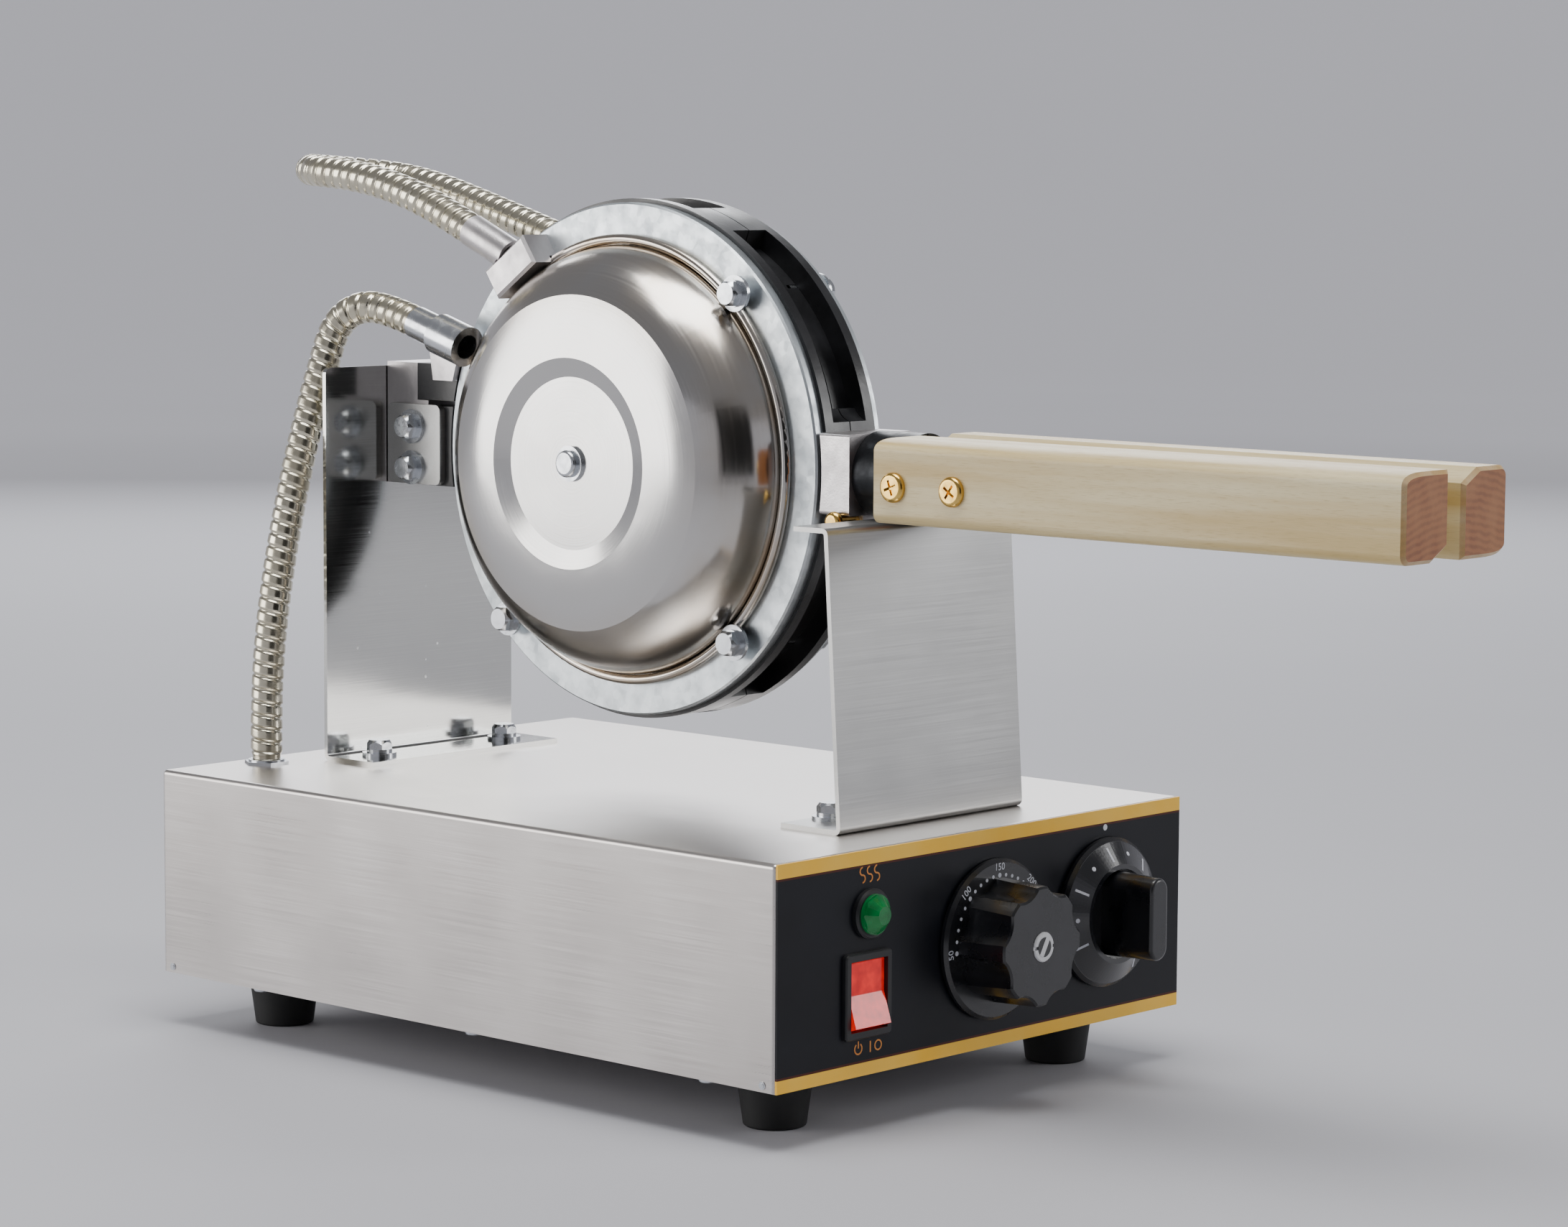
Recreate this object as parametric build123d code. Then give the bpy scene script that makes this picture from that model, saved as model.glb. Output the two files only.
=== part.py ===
from build123d import *
import math
import os

# Countertop bubble waffle maker, millimetres, +Z up, handle towards -Y.
# Origin: middle of the whole machine seen from above, from the grips' ends to the cable gland,
# on the surface that the feet stand on. Everything is drawn about the base box's centre and
# moved to that origin at the end.

# Base box, folded from stainless sheet
base_w = 250.0
base_d = 364.0
base_h = 88.5
sheet = 1.2
fold_r = 2.0
lip_w = 14.0
label_t = 1.0
label_gap_right = 1.6
plate_t = 1.2
plate_inset = 4.0
base_screw_y = 132.0
base_screw_shift = -6.0
base_screw_r = 1.9
base_screw_head_r = 3.6
base_screw_head_h = 1.5

# Rubber feet
foot_h = 21.8
foot_r_low = 12.5
foot_r_top = 15.5
foot_x = 87.0
foot_y = 146.0
foot_recess_r = 5.5
foot_recess_h = 12.0
foot_screw_r = 2.4
foot_screw_head_r = 4.6
foot_screw_head_h = 3.0

# Uprights that carry the mould
upright_t = 2.0
upright_foot = 32.0
bend_r = 1.0
rear_w = 112.0
rear_behind = 40.0
rear_rise = 34.1
rear_bolt_x = 38.0
rear_bolt_ahead = 14.0
front_w = 112.5
front_lean = 8.0
front_lip = 18.0
front_lip_gap = 4.0
front_bolt_x = 35.5
front_bolt_behind = 16.0
upright_corner_r = 3.0

# Mould: two round halves on the pivot axis, parting plane at x = 0
axis_h = 138.9
mould_y = 2.5
part_gap = 0.3
pan_r = 109.5
groove_r = 101.0
groove_w = 9.7
flange_t = 5.0
hub_r = 88.0
hub_t = 4.0
tray_r = 92.0
tray_depth = 2.4
cell_r = 12.0
cell_pitch = 27.0
cell_rows = (3, 4, 5, 6, 5, 4, 3)
boss_w = 24.0
boss_angles = (68.5, 111.5, -68.5, -111.5)
lug_boss_w = 50.0
post_r = 8.0
post_h = 11.0

# Ring that clamps each dome to its pan
ring_r = 107.8
ring_hole_r = 88.5
ring_t = 5.0
ring_bolt_r = 98.0
ring_bolt_angles = (47.0, -47.0, -133.0)

# Dome covers, spun from sheet
dome_t = 1.0
bead_r = 2.1
dome_r = 90.5
dome_swell_r = 83.7
dome_shoulder_r = 70.0
dome_shoulder_h = 31.5
dome_crown_r = 44.0
dome_crown_h = 35.5
dome_step_r = 36.0
dome_step_h = 33.0

# Heating stack under each dome
heater_r = 82.0
heater_t = 3.0
clamp_plate_r = 76.0
clamp_plate_t = 2.5
pad_r = 74.0
pad_t = 17.0
stack_gap = 0.3
bulb_r = 3.0
bulb_l = 60.0
bulb_y = 40.0

# Hex fasteners
bolt_r = 3.0
bolt_flats = 10.0
bolt_head_h = 4.0
bolt_hole_gap = 0.15
washer_r = 7.5
washer_t = 1.5
spring_r = 5.6
spring_t = 1.5
nut_h = 5.0

# Swivel yoke, hinge pin and hinge leaves
yoke_half = 20.0
yoke_block_x = 1.0
yoke_block_behind = 13.0
yoke_arm_behind = 20.0
yoke_back_t = 3.0
yoke_back_gap = 0.5
arm_low = 20.0
arm_high = 36.0
leaf_low = -17.0
leaf_high = 18.0
block_half = 17.5
pin_x = 14.0
pin_behind = 27.5
pin_r = 4.0
pin_head_r = 6.0
pin_head_h = 2.5
knuckle_r = 7.0
knuckle_cheek = 1.0
knuckle_low = -0.4
prong_top = -0.7
fit_gap = 0.05
move_gap = 0.3
leaf_t = 3.0
leaf_behind = 2.6
leaf_l = 33.6
leaf_corner_r = 3.0
leaf_bolt_behind = 20.0
leaf_bolt_z = (-9.9, 8.2)
ear_x = 3.0
leaf_b_x = 11.0
leaf_b_t = 5.0
leaf_b_behind = 1.0
leaf_b_neck_behind = 18.5
leaf_b_bolt_behind = 9.0
leaf_b_bolt_z = 9.0
boss_b_x = 1.0
boss_b_behind = 16.0
yoke_screw_r = 2.5
yoke_screw_head_r = 4.3
yoke_screw_head_h = 4.5
yoke_screw_x = (-15.0, -7.5)
yoke_screw_tip_behind = 3.0

# Swivel shaft and its bearing behind the rear upright
shaft_r = 8.0
bush_hole_r = 11.1
bush_r = 11.0
bush_flange_r = 18.0
bush_flange_t = 4.0
bush_l = 12.0
shaft_washer_r = 14.0
shaft_washer_t = 1.6
shaft_nut_flats = 24.0
shaft_nut_h = 8.0
shaft_tail = 2.5

# Handle: lugs, journals and wooden grips
lug_x = 19.0
lug_half_h = 16.5
lug_l = 15.0
lug_fillet = 1.5
journal_r = 17.5
journal_l = 25.2
stud_r = 5.0
stud_x = 9.0
stud_in_pan = 14.0
tang_x = 4.2
tang_half_h = 13.0
tang_l = 81.0
grip_w = 28.5
grip_h = 33.5
grip_slot = 9.0
grip_l = 252.5
grip_round_w = 14.0
grip_round_h = 5.0
grip_edge_r = 4.0
grip_chamfer_w = 10.0
grip_chamfer_h = 5.5
grip_end_r = 1.5
grip_screw_in = (10.8, 41.2)
grip_screw_drop = 2.0
grip_screw_r = 2.5
grip_screw_head_r = 6.0
grip_screw_head_h = 2.4
grip_screw_tip = 2.0
stop_screw_in = 5.3
stop_screw_z = -18.9
stop_screw_r = 2.2
stop_head_r = 4.35
stop_head_h = 2.6
stop_head_x = 21.6
stop_ear_x = 9.0
stop_ear_h = 5.6

# Conduits: flexible metal hose from the base to half A, and a jumper from A to B
hose_r = 7.0
hose_root_r = 6.1
hose_bore_r = 5.0
hose_pitch = 5.6
hose_groove = 1.2
hose_lead = 4.0
ferrule_r = 7.2
ferrule_bore_r = 5.4
ferrule_l = 26.0
main_ferrule_l = 15.0
socket_r = 9.0
socket_l = 18.0
socket_bore_r = 5.4
strap_t = 2.8
clamp_w = 28.0
clamp_h = 14.0
clamp_t = 15.0
clamp_r = 97.5
clamp_angle = 125.0
gland_r = 8.8
gland_h = 2.0
gland_thread_r = 7.0
gland_nut_h = 4.0

# Front controls: x of each centre, height above the base box's underside
switch_x = -74.5
switch_z = 32.0
switch_bezel_w = 27.0
switch_bezel_h = 34.0
switch_bezel_t = 2.2
switch_window_w = 21.3
switch_window_h = 27.8
switch_body_w = 23.9
switch_body_h = 30.4
switch_body_l = 22.0
switch_floor = 3.0
rocker_w = 20.5
rocker_r = 13.3
rocker_back = 6.0
rocker_front = 2.0
rocker_bevel = 9.0
rocker_pivot_in = 1.5
rocker_pin_r = 1.5
rocker_pin_l = 1.0
blade_w = 6.3
blade_t = 0.8
blade_l = 9.0
blade_pitch = 8.0
cutout_gap = 0.2
lamp_x = -72.5
lamp_z = 63.5
lamp_bezel_r = 10.0
lamp_bezel_t = 2.6
lamp_lens_r = 8.0
lamp_lens_h = 7.0
lamp_barrel_r = 7.0
lamp_barrel_l = 26.0
lamp_wall = 1.2
dial_x = 1.5
dial_z = 44.0
dial_skirt_r = 32.5
dial_skirt_t = 3.0
dial_knob_r = 24.0
dial_knob_h = 26.5
dial_lobes = 8
dial_scallop_r = 11.0
dial_scallop_depth = 2.6
dial_cap_r = 6.0
dial_cap_h = 1.6
timer_x = 73.5
timer_z = 46.0
timer_skirt_r = 31.0
timer_skirt_t = 3.0
timer_grip_w = 13.0
timer_grip_h = 36.0
timer_grip_out = 29.0
spindle_r = 3.0
spindle_in_knob = 14.0
spindle_bush_r = 6.0
panel_hole_r = 6.2
knob_gap = 0.8
thermostat_w = 42.0
thermostat_h = 34.0
thermostat_l = 30.0
timer_body_r = 26.0
timer_body_l = 32.0
spindle_tail = 20.0

# Mains side inside the base
block_w = 54.0
block_d = 24.0
block_h = 20.0
block_x = 30.0
block_y = 110.0
block_poles = 3
block_hole_r = 3.0
block_screw_r = 2.0
inlet_x = 70.0
inlet_z = 26.0
inlet_r = 8.0
inlet_flange_r = 11.5
inlet_flange_t = 4.0
inlet_cap_r = 9.5
inlet_cap_l = 12.0
inlet_bore_r = 4.0

# Derived places
base_z = foot_h + plate_t
top_z = base_z + base_h
axis_z = top_z + axis_h
front_y = -base_d / 2
shell_d = base_d - label_t
shell_front_y = front_y + label_t
inner_front_y = shell_front_y + sheet
rear_wall_y = base_d / 2
flange_x = part_gap + groove_w
ring_x = flange_x + flange_t
dome_x = ring_x + ring_t
hub_x = ring_x + hub_t
bead_x = dome_x + 2 * bead_r
rim_rear_y = mould_y + pan_r
rim_front_y = mould_y - pan_r
rear_y = rim_rear_y + rear_behind
rear_bolt_y = rear_y - rear_bolt_ahead
yoke_block_y = rim_rear_y + yoke_block_behind
yoke_arm_y = rim_rear_y + yoke_arm_behind
yoke_screw_tip_y = rim_rear_y + yoke_screw_tip_behind
pin_y = rim_rear_y + pin_behind
pin_side_x = pin_x + knuckle_r + knuckle_cheek
leaf_front_y = rim_rear_y + leaf_behind
leaf_rear_y = leaf_front_y + leaf_l
leaf_bolt_y = rim_rear_y + leaf_bolt_behind
leaf_b_front_y = rim_rear_y + leaf_b_behind
leaf_b_neck_y = rim_rear_y + leaf_b_neck_behind
leaf_b_bolt_y = rim_rear_y + leaf_b_bolt_behind
boss_b_y = rim_rear_y + boss_b_behind
lug_end_y = rim_front_y - lug_l
journal_end_y = lug_end_y - journal_l
stud_tip_y = rim_front_y + stud_in_pan
stop_screw_y = lug_end_y + stop_screw_in
grip_screw_y = [journal_end_y - reach for reach in grip_screw_in]
front_y_top = lug_end_y - front_lip_gap - front_lip
front_y_low = front_y_top - front_lean
front_bolt_y = front_y_top + front_bolt_behind
grip_x = grip_slot / 2
grip_root_y = journal_end_y - move_gap
grip_end_y = grip_root_y - grip_l
yoke_back_y = rear_y - yoke_back_gap - yoke_back_t
lip_z = axis_z - journal_r - move_gap
bush_end_y = rear_y + upright_t + bush_l
shaft_washer_y = bush_end_y + move_gap
shaft_nut_y = shaft_washer_y + shaft_washer_t
shaft_end_y = shaft_nut_y + shaft_nut_h + shaft_tail

# Routes of the two conduits; each goes straight out of its fitting
main_route = [
    (-80.0, 165.0, top_z + gland_h),
    (-80.0, 165.0, 142.0),
    (-76.5, 165.0, 175.0),
    (-69.5, 165.2, 209.0),
    (-61.5, 165.0, 240.0),
    (-54.0, 164.6, 264.0),
    (-48.0, 163.6, 282.5),
    (-41.5, 161.5, 303.5),
    (-37.0, 149.2, 311.7),
    (-32.5, 133.8, 309.3),
    (-32.5, 118.6, 304.7),
]
jumper_route = [
    (-28.0, 88.0, 345.0),
    (-28.0, 112.0, 355.5),
    (-28.0, 140.0, 364.0),
    (-28.0, 167.0, 368.6),
    (-28.0, 193.6, 370.2),
    (-11.6, 210.0, 370.3),
    (11.6, 210.0, 369.0),
    (28.0, 193.6, 366.8),
    (28.0, 167.0, 362.0),
    (28.0, 141.0, 355.0),
    (28.0, 113.0, 347.2),
    (28.0, 90.0, 340.5),
]

UP = (Align.CENTER, Align.CENTER, Align.MIN)
DOWN = (Align.CENTER, Align.CENTER, Align.MAX)


def block(x0, x1, y0, y1, z0, z1):
    """Box between two corners."""
    box = Box(x1 - x0, y1 - y0, z1 - z0, align=(Align.MIN, Align.MIN, Align.MIN))
    return Pos(x0, y0, z0) * box


def rod(start, direction, radius, length):
    """Cylinder from a point along a direction."""
    return Plane(origin=start, z_dir=direction) * Cylinder(radius, length, align=UP)


def tube(start, direction, radius, bore, length):
    """Open tube from a point along a direction."""
    return rod(start, direction, radius, length) - rod(start, direction, bore, length)


def turned(points):
    """Solid of revolution on the mould's centre line, from (depth, radius) corners."""
    face = make_face(Polyline(*points, close=True))
    return Pos(0, mould_y, axis_z) * revolve(face, Axis.X)


def mould_disc(x0, x1, radius):
    """Disc on the mould's centre line between two depths."""
    return rod((x0, mould_y, axis_z), (1, 0, 0), radius, x1 - x0)


def on_circle(radius, degrees):
    """Point (y, z) on a circle round the mould's centre, from -Y towards +Z."""
    turn = math.radians(degrees)
    return mould_y - radius * math.cos(turn), axis_z + radius * math.sin(turn)


def half(solid, side):
    """Half B as drawn, or half A as its mirror image."""
    return solid if side > 0 else mirror(solid, about=Plane.YZ)


def group(solids):
    """Separate solids that share a node."""
    return Compound(children=list(solids))


def hexagon(flats, height):
    """Hexagonal prism standing on the XY plane."""
    return extrude(RegularPolygon(flats / 2, 6, major_radius=False), height)


def hex_bolt(shank_l):
    """Hex bolt, underside of its head on the XY plane, shank downwards."""
    head = hexagon(bolt_flats, bolt_head_h)
    crown = Cone(bolt_flats * 0.72, bolt_flats * 0.44, bolt_head_h, align=UP)
    shank = Cylinder(bolt_r, shank_l, align=DOWN)
    return (head & crown) + shank


def washer(radius, thickness):
    """Flat ring for a bolt, standing on the XY plane."""
    hole = Cylinder(bolt_r + bolt_hole_gap, thickness, align=UP)
    return Cylinder(radius, thickness, align=UP) - hole


def outward(x, y, z):
    """Plane on half B that faces +X."""
    return Plane(origin=(x, y, z), x_dir=(0, 1, 0), z_dir=(1, 0, 0))


def upward(x, y, z):
    """Location on a horizontal face."""
    return Pos(x, y, z)


def bolt_hole(plane, depth):
    """Clearance hole under a bolt's seat."""
    return plane * Cylinder(bolt_r + bolt_hole_gap, depth, align=DOWN)


def control_plane(x, height):
    """Plane on the front face, facing the user, at a control's centre."""
    return Plane(origin=(x, front_y, base_z + height), x_dir=(1, 0, 0), z_dir=(0, -1, 0))


def base_holes():
    """Everything that passes through the folded base shell."""
    holes = []
    depth = label_t + sheet + 4
    switch = control_plane(switch_x, switch_z)
    gap = 2 * cutout_gap
    window = Box(switch_body_w + gap, switch_body_h + gap, depth, align=DOWN)
    holes.append(switch * Pos(0, 0, 1) * window)
    lamp_hole = Cylinder(lamp_barrel_r + cutout_gap, depth, align=DOWN)
    holes.append(control_plane(lamp_x, lamp_z) * Pos(0, 0, 1) * lamp_hole)
    for x, z in ((dial_x, dial_z), (timer_x, timer_z)):
        hole = Cylinder(panel_hole_r, depth, align=DOWN)
        holes.append(control_plane(x, z) * Pos(0, 0, 1) * hole)
    for seat in upright_bolt_seats():
        holes.append(bolt_hole(seat, upright_t + sheet + 2))
    gx, gy, gz = main_route[0]
    holes.append(rod((gx, gy, top_z + 1), (0, 0, -1), gland_thread_r + cutout_gap, sheet + 2))
    inlet = (inlet_x, rear_wall_y + 1, base_z + inlet_z)
    holes.append(rod(inlet, (0, -1, 0), inlet_r + cutout_gap, sheet + 2))
    for x, y in base_screw_places():
        low = (x, y, base_z - plate_t - 1)
        holes.append(rod(low, (0, 0, 1), base_screw_r + fit_gap, plate_t + sheet + 2))
    return holes


def base_screw_places():
    """Centres of the screws that hold the bottom plate."""
    x = base_w / 2 - lip_w / 2 - sheet
    rows = [base_screw_shift + step * base_screw_y for step in (-1, 0, 1)]
    return [(side * x, y) for side in (-1, 1) for y in rows]


def upright_bolt_seats():
    """Top faces of the feet of both uprights, under their bolts."""
    z = top_z + upright_t
    rear = [upward(side * rear_bolt_x, rear_bolt_y, z) for side in (-1, 1)]
    front = [upward(side * front_bolt_x, front_bolt_y, z) for side in (-1, 1)]
    return rear + front


def base_shell():
    """Top and four walls folded from one sheet, with a lip turned in below."""
    mid_y = label_t / 2
    outer = Pos(0, mid_y, base_z) * Box(base_w, shell_d, base_h, align=UP)
    edges = outer.edges().filter_by(Axis.Z) + outer.faces().sort_by(Axis.Z)[-1].edges()
    outer = fillet(edges, fold_r)
    width = base_w - 2 * sheet
    depth = shell_d - 2 * sheet
    inner = Pos(0, mid_y, base_z + sheet) * Box(width, depth, base_h - 2 * sheet, align=UP)
    edges = inner.edges().filter_by(Axis.Z) + inner.faces().sort_by(Axis.Z)[-1].edges()
    inner = fillet(edges, fold_r - sheet)
    mouth = Box(base_w - 2 * lip_w, shell_d - 2 * lip_w, 4 * sheet)
    return outer - inner - Pos(0, mid_y, base_z) * mouth - base_holes()


def label_panel():
    """Printed front panel over the whole face but for a strip at the right."""
    right = base_w / 2 - label_gap_right
    panel = block(-base_w / 2, right, front_y, shell_front_y, base_z, top_z)
    return panel - base_holes()


def bottom_plate():
    """Flat plate screwed under the lip, with the feet's holes."""
    width = base_w - 2 * plate_inset
    plate = Pos(0, 0, base_z) * Box(width, base_d - 2 * plate_inset, plate_t, align=DOWN)
    for spot in GridLocations(2 * foot_x, 2 * foot_y, 2, 2):
        plate -= spot * Pos(0, 0, foot_h) * Cylinder(foot_screw_r + fit_gap, 4 * plate_t)
    for x, y in base_screw_places():
        hole = Cylinder(base_screw_r + fit_gap, 4 * plate_t)
        plate -= Pos(x, y, base_z) * hole
    for side in (-1, 1):
        seat = Pos(block_x + side * block_w * 0.42, block_y, base_z)
        plate -= seat * Cylinder(block_screw_r + fit_gap, 4 * plate_t)
    return plate


def base_screws():
    """Pan-head screws up through the plate and the lip."""
    screws = []
    for x, y in base_screw_places():
        head = Cylinder(base_screw_head_r, base_screw_head_h, align=DOWN)
        head = fillet(head.faces().sort_by(Axis.Z)[0].edges(), base_screw_head_h * 0.6)
        shank = Cylinder(base_screw_r, plate_t + sheet + 4, align=UP)
        screws.append(Pos(x, y, base_z - plate_t) * (head + shank))
    return screws


def feet():
    """Tapered rubber feet with a recess for the screw."""
    foot = Cone(foot_r_low, foot_r_top, foot_h, align=UP)
    foot = fillet(foot.faces().sort_by(Axis.Z)[0].edges(), 1.2)
    foot -= Cylinder(foot_recess_r, foot_recess_h, align=UP)
    foot -= Cylinder(foot_screw_r + fit_gap, foot_h, align=UP)
    return group(spot * foot for spot in GridLocations(2 * foot_x, 2 * foot_y, 2, 2))


def foot_screws():
    """Screws through the feet, with their nuts on the plate."""
    head = Pos(0, 0, foot_recess_h) * Cylinder(foot_screw_head_r, foot_screw_head_h, align=DOWN)
    reach = foot_h - foot_recess_h + plate_t + nut_h
    shank = Pos(0, 0, foot_recess_h) * Cylinder(foot_screw_r, reach, align=UP)
    nut = Pos(0, 0, base_z) * hexagon(8.0, nut_h * 0.8)
    screw = head + shank + nut
    return group(spot * screw for spot in GridLocations(2 * foot_x, 2 * foot_y, 2, 2))


def bent(profile, width, bends):
    """Sheet bracket: a (y, z) outline drawn out along X, with its bends rounded."""
    face = Plane.YZ * make_face(Polyline(*profile, close=True))
    bracket = extrude(face, width / 2, both=True)
    for y, z, radius in bends:
        edge = bracket.edges().filter_by(Axis.X).sort_by_distance((0, y, z))[0]
        bracket = fillet(edge, radius)
    return bracket


def rear_upright():
    """Rear bracket: plate behind the mould, foot folded forward under it."""
    top = axis_z + rear_rise
    back = rear_y + upright_t
    toe = back - upright_foot
    profile = [(back, top_z), (back, top), (rear_y, top), (rear_y, top_z + upright_t),
               (toe, top_z + upright_t), (toe, top_z)]
    bends = [(rear_y, top_z + upright_t, bend_r), (back, top_z, bend_r + upright_t)]
    bracket = bent(profile, rear_w, bends)
    corners = bracket.edges().filter_by(Axis.Y).group_by(Axis.Z)[-1]
    bracket = fillet(corners, upright_corner_r)
    bracket -= rod((0, rear_y - 1, axis_z), (0, 1, 0), bush_hole_r, upright_t + 2)
    return bracket - [bolt_hole(seat, upright_t + 1) for seat in upright_bolt_seats()]


def front_upright():
    """Front bracket: leaning plate, folded lip that the journals rest on, and foot."""
    lean = (front_y_top - front_y_low) / (lip_z - top_z)
    skin = upright_t * math.sqrt(1 + lean * lean)
    inner_low = front_y_low + skin + lean * upright_t
    inner_top = front_y_top + skin - lean * upright_t
    profile = [
        (front_y_low, top_z),
        (front_y_top, lip_z),
        (front_y_top + front_lip, lip_z),
        (front_y_top + front_lip, lip_z - upright_t),
        (inner_top, lip_z - upright_t),
        (inner_low, top_z + upright_t),
        (front_y_low + upright_foot, top_z + upright_t),
        (front_y_low + upright_foot, top_z),
    ]
    outer_r = bend_r + upright_t
    bends = [
        (inner_low, top_z + upright_t, bend_r),
        (inner_top, lip_z - upright_t, bend_r),
        (front_y_low, top_z, outer_r),
        (front_y_top, lip_z, outer_r),
    ]
    bracket = bent(profile, front_w, bends)
    return bracket - [bolt_hole(seat, upright_t + 1) for seat in upright_bolt_seats()]


def upright_bolts():
    """Bolts of both uprights, washers under the heads and nuts inside the base."""
    parts = []
    for seat in upright_bolt_seats():
        lift = washer_t + spring_t
        bolt = seat * Pos(0, 0, lift) * hex_bolt(lift + upright_t + sheet + nut_h)
        nut = seat * Pos(0, 0, -upright_t - sheet) * Rot(180, 0, 0) * hexagon(bolt_flats, nut_h)
        nut -= bolt_hole(seat, upright_t + sheet + nut_h + 1)
        parts += [bolt, nut, seat * washer(washer_r, washer_t)]
        parts.append(seat * Pos(0, 0, washer_t) * washer(spring_r, spring_t))
    return group(parts)


def swivel_bush():
    """Bearing boss welded behind the rear upright."""
    start = (0, rear_y, axis_z)
    body = rod(start, (0, 1, 0), bush_r, upright_t + bush_l)
    flange_y = rear_y + upright_t
    body += rod((0, flange_y, axis_z), (0, 1, 0), bush_flange_r, bush_flange_t)
    return body - rod(start, (0, 1, 0), shaft_r + fit_gap, upright_t + bush_l)


def swivel_yoke():
    """Yoke that carries half A and the hinge pin, with its shaft through the rear upright."""
    low = axis_z - block_half
    high = axis_z + arm_high
    back_y = yoke_back_y + yoke_back_t
    yoke = block(-yoke_half, pin_side_x, yoke_back_y, back_y, low, high)
    yoke += block(-yoke_half, pin_side_x, yoke_arm_y, yoke_back_y, axis_z + arm_low, high)
    core_top = axis_z + arm_low
    yoke += block(-yoke_half, -yoke_block_x, yoke_arm_y, yoke_back_y, low, core_top)
    nose_top = axis_z + arm_low - move_gap
    yoke += block(-yoke_half, -yoke_block_x, yoke_block_y, yoke_arm_y, low, nose_top)
    yoke += block(-yoke_block_x, pin_x, pin_y - knuckle_r, yoke_back_y, low, axis_z + prong_top)
    yoke += rod((pin_x, pin_y, low), (0, 0, 1), knuckle_r, axis_z + prong_top - low)
    yoke += rod((0, yoke_back_y, axis_z), (0, 1, 0), shaft_r, shaft_end_y - yoke_back_y)
    yoke -= rod((pin_x, pin_y, low), (0, 0, 1), pin_r + fit_gap, high - low)
    for z in leaf_bolt_z:
        hole = Cylinder(bolt_r + bolt_hole_gap, yoke_half - 4, align=DOWN)
        yoke -= mirror(outward(yoke_half, leaf_bolt_y, axis_z + z) * hole, about=Plane.YZ)
    return yoke - yoke_screw_holes()


def yoke_screw_centres():
    """Heads of the screws that pull half A's ear to the yoke's arm."""
    z = axis_z + (arm_low + arm_high) / 2
    return [(x, yoke_back_y + yoke_back_t, z) for x in yoke_screw_x]


def yoke_screw_holes():
    """Counterbored holes for the ear screws."""
    holes = []
    for spot in yoke_screw_centres():
        reach = spot[1] - yoke_screw_tip_y
        head = rod(spot, (0, -1, 0), yoke_screw_head_r + fit_gap, yoke_screw_head_h + fit_gap)
        holes.append(head + rod(spot, (0, -1, 0), yoke_screw_r + fit_gap, reach + 1))
    return holes


def yoke_screws():
    """Socket-head screws from the yoke's back into half A's ear."""
    screws = []
    for x, y, z in yoke_screw_centres():
        head = rod((x, y, z), (0, -1, 0), yoke_screw_head_r, yoke_screw_head_h)
        head -= rod((x, y, z), (0, -1, 0), yoke_screw_r * 0.7, yoke_screw_head_h / 2)
        shank_y = y - yoke_screw_head_h
        shank = rod((x, shank_y, z), (0, -1, 0), yoke_screw_r, shank_y - yoke_screw_tip_y)
        screws.append(head + shank)
    return screws


def shaft_nut():
    """Washer and hex nut that keep the shaft in its bearing."""
    start = (0, shaft_washer_y, axis_z)
    ring = tube(start, (0, 1, 0), shaft_washer_r, shaft_r + fit_gap, shaft_washer_t)
    facing = Plane(origin=(0, shaft_nut_y, axis_z), z_dir=(0, 1, 0))
    nut = facing * hexagon(shaft_nut_flats, shaft_nut_h)
    nut -= rod((0, shaft_nut_y, axis_z), (0, 1, 0), shaft_r + fit_gap, shaft_nut_h)
    return group([ring, nut])


def hinge_pin():
    """Upright hinge pin with a turned head and a riveted tail."""
    low = axis_z - block_half
    high = axis_z + arm_high
    pin = rod((pin_x, pin_y, low), (0, 0, 1), pin_r, high - low)
    head = Pos(pin_x, pin_y, high) * Cylinder(pin_head_r, pin_head_h, align=UP)
    head = fillet(head.faces().sort_by(Axis.Z)[-1].edges(), pin_head_h * 0.6)
    tail = Pos(pin_x, pin_y, low) * Cone(pin_r, pin_r * 1.35, pin_head_h / 2, align=DOWN)
    return pin + head + tail


def leaf_a():
    """Leaf plate across the seam between half A and the yoke."""
    depth = leaf_rear_y - leaf_front_y
    height = leaf_high - leaf_low
    mid_z = axis_z + (leaf_low + leaf_high) / 2
    plane = outward(yoke_half, (leaf_front_y + leaf_rear_y) / 2, mid_z)
    plate = plane * extrude(RectangleRounded(depth, height, leaf_corner_r), leaf_t)
    for z in leaf_bolt_z:
        plate -= bolt_hole(outward(yoke_half + leaf_t, leaf_bolt_y, axis_z + z), leaf_t)
    return mirror(plate, about=Plane.YZ)


def stacked_bolts(seats, shank_l):
    """Bolt, spring washer and flat washer on each seat."""
    parts = []
    for seat in seats:
        lift = washer_t + spring_t
        parts.append(seat * Pos(0, 0, lift) * hex_bolt(lift + shank_l))
        parts.append(seat * washer(washer_r, washer_t))
        parts.append(seat * Pos(0, 0, washer_t) * washer(spring_r, spring_t))
    return parts


def leaf_a_bolts():
    """Two hex bolts through leaf A into the yoke."""
    seats = [outward(yoke_half + leaf_t, leaf_bolt_y, axis_z + z) for z in leaf_bolt_z]
    bolts = stacked_bolts(seats, leaf_t + yoke_half - 6)
    return [mirror(bolt, about=Plane.YZ) for bolt in bolts]


def leaf_b_seats():
    """Seats of the bolts that hold the lid's hinge leaf."""
    x = leaf_b_x + leaf_b_t
    return [outward(x, leaf_b_bolt_y, axis_z + side * leaf_b_bolt_z) for side in (-1, 1)]


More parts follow.
